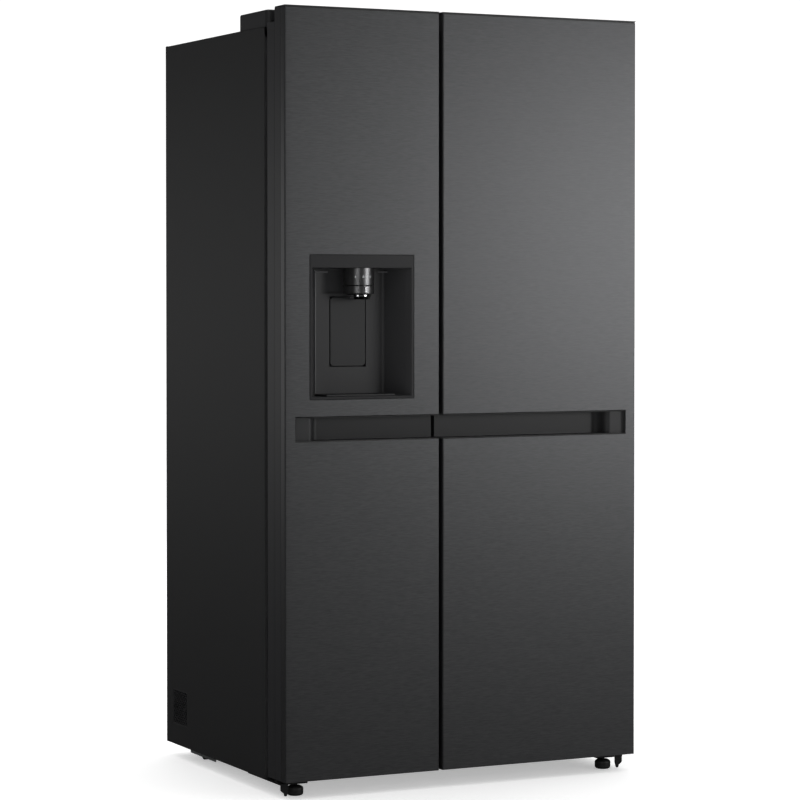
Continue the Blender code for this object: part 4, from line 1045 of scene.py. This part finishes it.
SLOT_X = (0.135, 0.235)
SLOT_HEIGHT = 0.006
room_back = ROOM_REAR - WALL
bm = slab((0.105, 0.265), (room_back - 0.0026, room_back - 0.0001), (0.665, 1.655))
rows = [0.70 + 0.30 * group + 0.014 * row for group in range(4) for row in range(3)]
for place in SLOT_X:
    cut_plane(bm, 0, place)
for row in rows:
    cut_plane(bm, 2, row)
    cut_plane(bm, 2, row + SLOT_HEIGHT)
slots = [
    face for face in bm.faces
    if face.normal.y < -0.9 and SLOT_X[0] < face.calc_center_median().x < SLOT_X[1]
    and any(row < face.calc_center_median().z < row + SLOT_HEIGHT for row in rows)
]
# The slots are only set in a little, and their floors are painted black: painted shade for the dark
# inside the open air slots.
bmesh.ops.inset_individual(bm, faces=slots, thickness=0.0006, depth=-0.0018)
painted_shade_slots = {tuple(round(part, 4) for part in face.calc_center_median()) for face in slots}
panel = finished("air_panel", bm, [white_plastic, black_plastic], "cabinet")
paint_by_place(panel, lambda co: tuple(round(part, 4) for part in co) in painted_shade_slots, 1)
for name, x, y in (
    ("fridge_lamp", (0.080, 0.290), (-0.110, -0.030)),
    ("freezer_lamp", (-0.320, -0.170), (-0.110, -0.040)),
):
    bm = slab(x, y, LAMP_Z)
    lower = [e for e in bm.edges if any(v.co.z < LAMP_Z[0] + TINY for v in e.verts)]
    round_edges(bm, lower, 0.004, 3)
    finished(name, bm, lamp_lens, "cabinet")


# ---- Freezer air duct ----
# A white moulded wall hides the evaporator, a finned block on a bent tube. A small fan behind a
# round guard blows the cold air into the room through the wall's mouth and slots.
fin_metal = textured("fin_metal", (0.62, 0.63, 0.64), 0.32, 1.0, 200.0, (1, 1, 1), 0.06, 0.00002)
copper = textured("copper_tube", (0.62, 0.30, 0.17), 0.30, 1.0, 150.0, (1, 1, 1), 0.08, 0.00002)
softened("evaporator_cover", white_plastic, 0.0007, "cabinet", "duct_wall", 2)
GUARD_WIRE = (0.0009, 0.0010)
SPOKE = (0.041, 0.0016, 0.0022)
FIN_PITCH = 0.005
FIN_SHEET = 0.0004
fan_low, fan_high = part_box("evaporator_fan")
fan_middle = (fan_low + fan_high) / 2
guard_middle = (fan_middle.x, 0.2364, fan_middle.z)
bm = bmesh.new()
for radius in (0.016, 0.029, 0.042, 0.055):
    outer, inner = radius + GUARD_WIRE[0], radius - GUARD_WIRE[0]
    wire = [(outer, GUARD_WIRE[1]), (outer, -GUARD_WIRE[1]), (inner, -GUARD_WIRE[1])]
    join_in(bm, lathe(wire + [(inner, GUARD_WIRE[1])], guard_middle, "Y", 40))
for spoke in range(6):
    turn = Matrix.Rotation(math.radians(60 * spoke), 4, "Y")
    matrix = Matrix.Translation(guard_middle) @ turn @ Matrix.Translation((0.0355, 0.0, 0.0))
    bmesh.ops.create_cube(bm, size=1.0, matrix=matrix @ Matrix.Diagonal((*SPOKE, 1.0)))
finished("fan_guard", bm, white_plastic, "cabinet")
bm = bmesh.new()
for fin in range(46):
    x = -0.358 + fin * FIN_PITCH
    add_slab(bm, (x, x + FIN_SHEET), (0.2475, 0.2925), (0.420, 0.700))
finished("evaporator_fins", bm, fin_metal, "cabinet")


def tube(name, points, radius, material):
    """A round tube bent through points."""
    curve = bpy.data.curves.new(name, "CURVE")
    curve.dimensions = "3D"
    curve.bevel_depth = radius
    curve.bevel_resolution = 3
    curve.use_fill_caps = True
    spline = curve.splines.new("POLY")
    spline.points.add(len(points) - 1)
    for spot, point in zip(spline.points, points):
        spot.co = (*point, 1.0)
    guide = bpy.data.objects.new(f"{name}_line", curve)
    bpy.context.scene.collection.objects.link(guide)
    depsgraph = bpy.context.evaluated_depsgraph_get()
    mesh = bpy.data.meshes.new_from_object(guide.evaluated_get(depsgraph))
    bpy.data.objects.remove(guide)
    bm = bmesh.new()
    bm.from_mesh(mesh)
    bmesh.ops.remove_doubles(bm, verts=bm.verts, dist=0.00001)
    finished(name, bm, material, "cabinet")


def to_and_fro(x, rows, pitch, place):
    """Points of a tube that runs across and back, with round bends between its rows."""
    points = []
    for row in range(rows):
        ends = x if row % 2 == 0 else x[::-1]
        points += [place(ends[0], row * pitch), place(ends[1], row * pitch)]
        if row < rows - 1:
            out = 1 if ends[1] > ends[0] else -1
            for step in (1, 2, 3, 4, 5):
                angle = math.radians(30 * step)
                along = row * pitch + (1 - math.cos(angle)) * pitch / 2
                points.append(place(ends[1] + out * math.sin(angle) * pitch / 2, along))
    return points


runs = to_and_fro((-0.364, -0.126), 8, 0.034, lambda x, along: (x, 0.270, 0.441 + along))
tube("evaporator_tube", runs, 0.0040, fin_metal)


# ---- Drawers and bins ----
# Thin clear mouldings with open tops. Drawers have a frosted grip along the front, and the door's
# bins have a frosted rail. The ice maker stands above its bin on the freezer door.
clear_plastic = textured(
    "clear_plastic", (0.80, 0.86, 0.90), 0.10, 0.0, 200.0, (1, 1, 1), 0.02, 0.00001, 0.03
)
clear_shader = clear_plastic.node_tree.nodes["Principled BSDF"]
clear_shader.inputs["Transmission Weight"].default_value = 0.85
clear_shader.inputs["IOR"].default_value = 1.49
for node in ("freezer_drawer_upper", "freezer_drawer_lower", "crisper_upper", "crisper_lower"):
    softened(node, clear_plastic, 0.0011, node, f"{node}_tub")
    low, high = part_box(node)
    grip_y, grip_z = (low.y - 0.0006, low.y + 0.0022), (high.z - 0.029, high.z - 0.002)
    bm = slab((low.x + 0.012, high.x - 0.012), grip_y, grip_z)
    grip_face = [face for face in bm.faces if face.normal.y < -0.9]
    bmesh.ops.inset_region(
        bm, faces=grip_face, thickness=0.006, depth=-0.0016, use_even_offset=True
    )
    round_edges(bm, sharp_edges(bm), 0.0006, 2)
    finished(f"{node}_grip", bm, frosted, node)
door_bins = [("ice_bin", "freezer_door"), ("freezer_door_bin", "freezer_door")]
door_bins += [(f"fridge_door_bin_{number}", "fridge_door") for number in (1, 2, 3)]
for node, body in door_bins:
    softened(node, clear_plastic, 0.0011, body, f"{node}_tub")
    low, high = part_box(node)
    rail_y, rail_z = (high.y - 0.0004, high.y + 0.0026), (high.z - 0.018, high.z - 0.001)
    bm = slab((low.x + 0.002, high.x - 0.002), rail_y, rail_z)
    round_edges(bm, bm.edges[:], 0.0010, 2)
    finished(f"{node}_rail", bm, frosted, body)
softened("ice_maker_body", white_plastic, 0.0014, "freezer_door", "ice_maker")
softened("ice_maker_tray", frosted, 0.0008, "ice_tray", "ice_cups", 2)
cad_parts["ice_auger"].data.materials.clear()
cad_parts["ice_auger"].data.materials.append(galvanised)


# ---- Machine room ----
# Behind the slotted cover at the back, a pot compressor stands on a steel floor beside the
# condenser, a long tube folded in layers, and the fan that pulls air through it.
enamel = textured("enamel", (0.012, 0.012, 0.012), 0.22, 0.1, 150.0, (1, 1, 1), 0.10, 0.00003)
softened("base_frame", galvanised, 0.0004, "cabinet", "steel_floor", 1)
softened("compressor", enamel, 0.0012, "cabinet", "compressor_pot", 2)
LAYER_PITCH = 0.045
for layer in range(3):
    height = 0.085 + layer * LAYER_PITCH
    runs = to_and_fro((-0.370, -0.120), 6, 0.030, lambda x, along: (x, 0.165 + along, height))
    tube(f"condenser_layer_{layer}", runs, 0.0032, enamel)
SHROUD_HALF = 0.016
FLOOR_TOP = 0.0345
fan_low, fan_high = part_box("condenser_fan")
hub = (fan_low + fan_high) / 2
ring = [(0.0735, SHROUD_HALF), (0.0780, SHROUD_HALF)]
ring += [(0.0780, -SHROUD_HALF), (0.0735, -SHROUD_HALF)]
bm = lathe(ring, hub, "X", 48)
finished("fan_shroud", bm, black_plastic, "cabinet")
motor = [(0.0, -0.018), (0.004, -0.018), (0.004, -0.024), (0.019, -0.025), (0.021, -0.027)]
motor += [(0.021, -0.052), (0.018, -0.055), (0.0, -0.055)]
bm = lathe(motor, hub, "X", 32)
finished("fan_motor", bm, black_plastic, "cabinet")
stay_y = (hub.y - 0.010, hub.y + 0.010)
bm = slab((hub.x - 0.050, hub.x - 0.046), stay_y, (FLOOR_TOP, hub.z - 0.015))
saddle_y = (hub.y - 0.030, hub.y + 0.030)
add_slab(bm, (hub.x - 0.012, hub.x + 0.012), saddle_y, (FLOOR_TOP, hub.z - 0.0770))
round_edges(bm, bm.edges[:], 0.0010, 2)
finished("fan_bracket", bm, galvanised, "cabinet")
pot_low, pot_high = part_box("compressor")
pot = (pot_low + pot_high) / 2
bm = slab((pot.x + 0.066, pot.x + 0.100), (pot.y - 0.026, pot.y + 0.026), (0.080, 0.145))
round_edges(bm, bm.edges[:], 0.004, 3)
finished("terminal_cover", bm, black_plastic, "cabinet")
for name, reach, height in (("suction_tube", 0.026, 0.262), ("discharge_tube", -0.030, 0.250)):
    rise = [(pot.x - 0.050, 0.150), (pot.x - 0.086, 0.156), (pot.x - 0.094, 0.164)]
    rise += [(pot.x - 0.096, height - 0.012), (pot.x - 0.100, height - 0.003)]
    rise += [(pot.x - 0.110, height), (-0.110, height)]
    points = [(x, pot.y + reach, z) for x, z in rise]
    tube(name, points, 0.0035, copper)
for node in ("condenser_fan", "evaporator_fan"):
    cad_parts[node].data.materials.clear()
    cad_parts[node].data.materials.append(black_plastic)
rear_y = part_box("rear_cover")[1].y
cover_screws = [(x, rear_y - 0.0062, z) for x in (-0.44, -0.15, 0.06, 0.44) for z in (0.048, 0.278)]
panel_screws = [(x, rear_y - 0.0055, z) for x in (-0.445, 0.445) for z in (0.42, 0.80, 1.18, 1.56)]
screw_heads("rear_screws", cover_screws + panel_screws, 0.0042, "cabinet", math.pi / 2)
inlet = [(0.0, 0.0068), (0.0045, 0.0068), (0.0045, 0.0074), (0.0075, 0.0074), (0.0080, 0.0068)]
inlet += [(0.0080, -0.004), (0.0115, -0.004), (0.0115, -0.007), (0.0, -0.007)]
bm = lathe(inlet, (-0.28, rear_y - 0.0065, 0.262), "Y", 32)
finished("water_inlet", bm, white_plastic, "cabinet")

low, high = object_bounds()
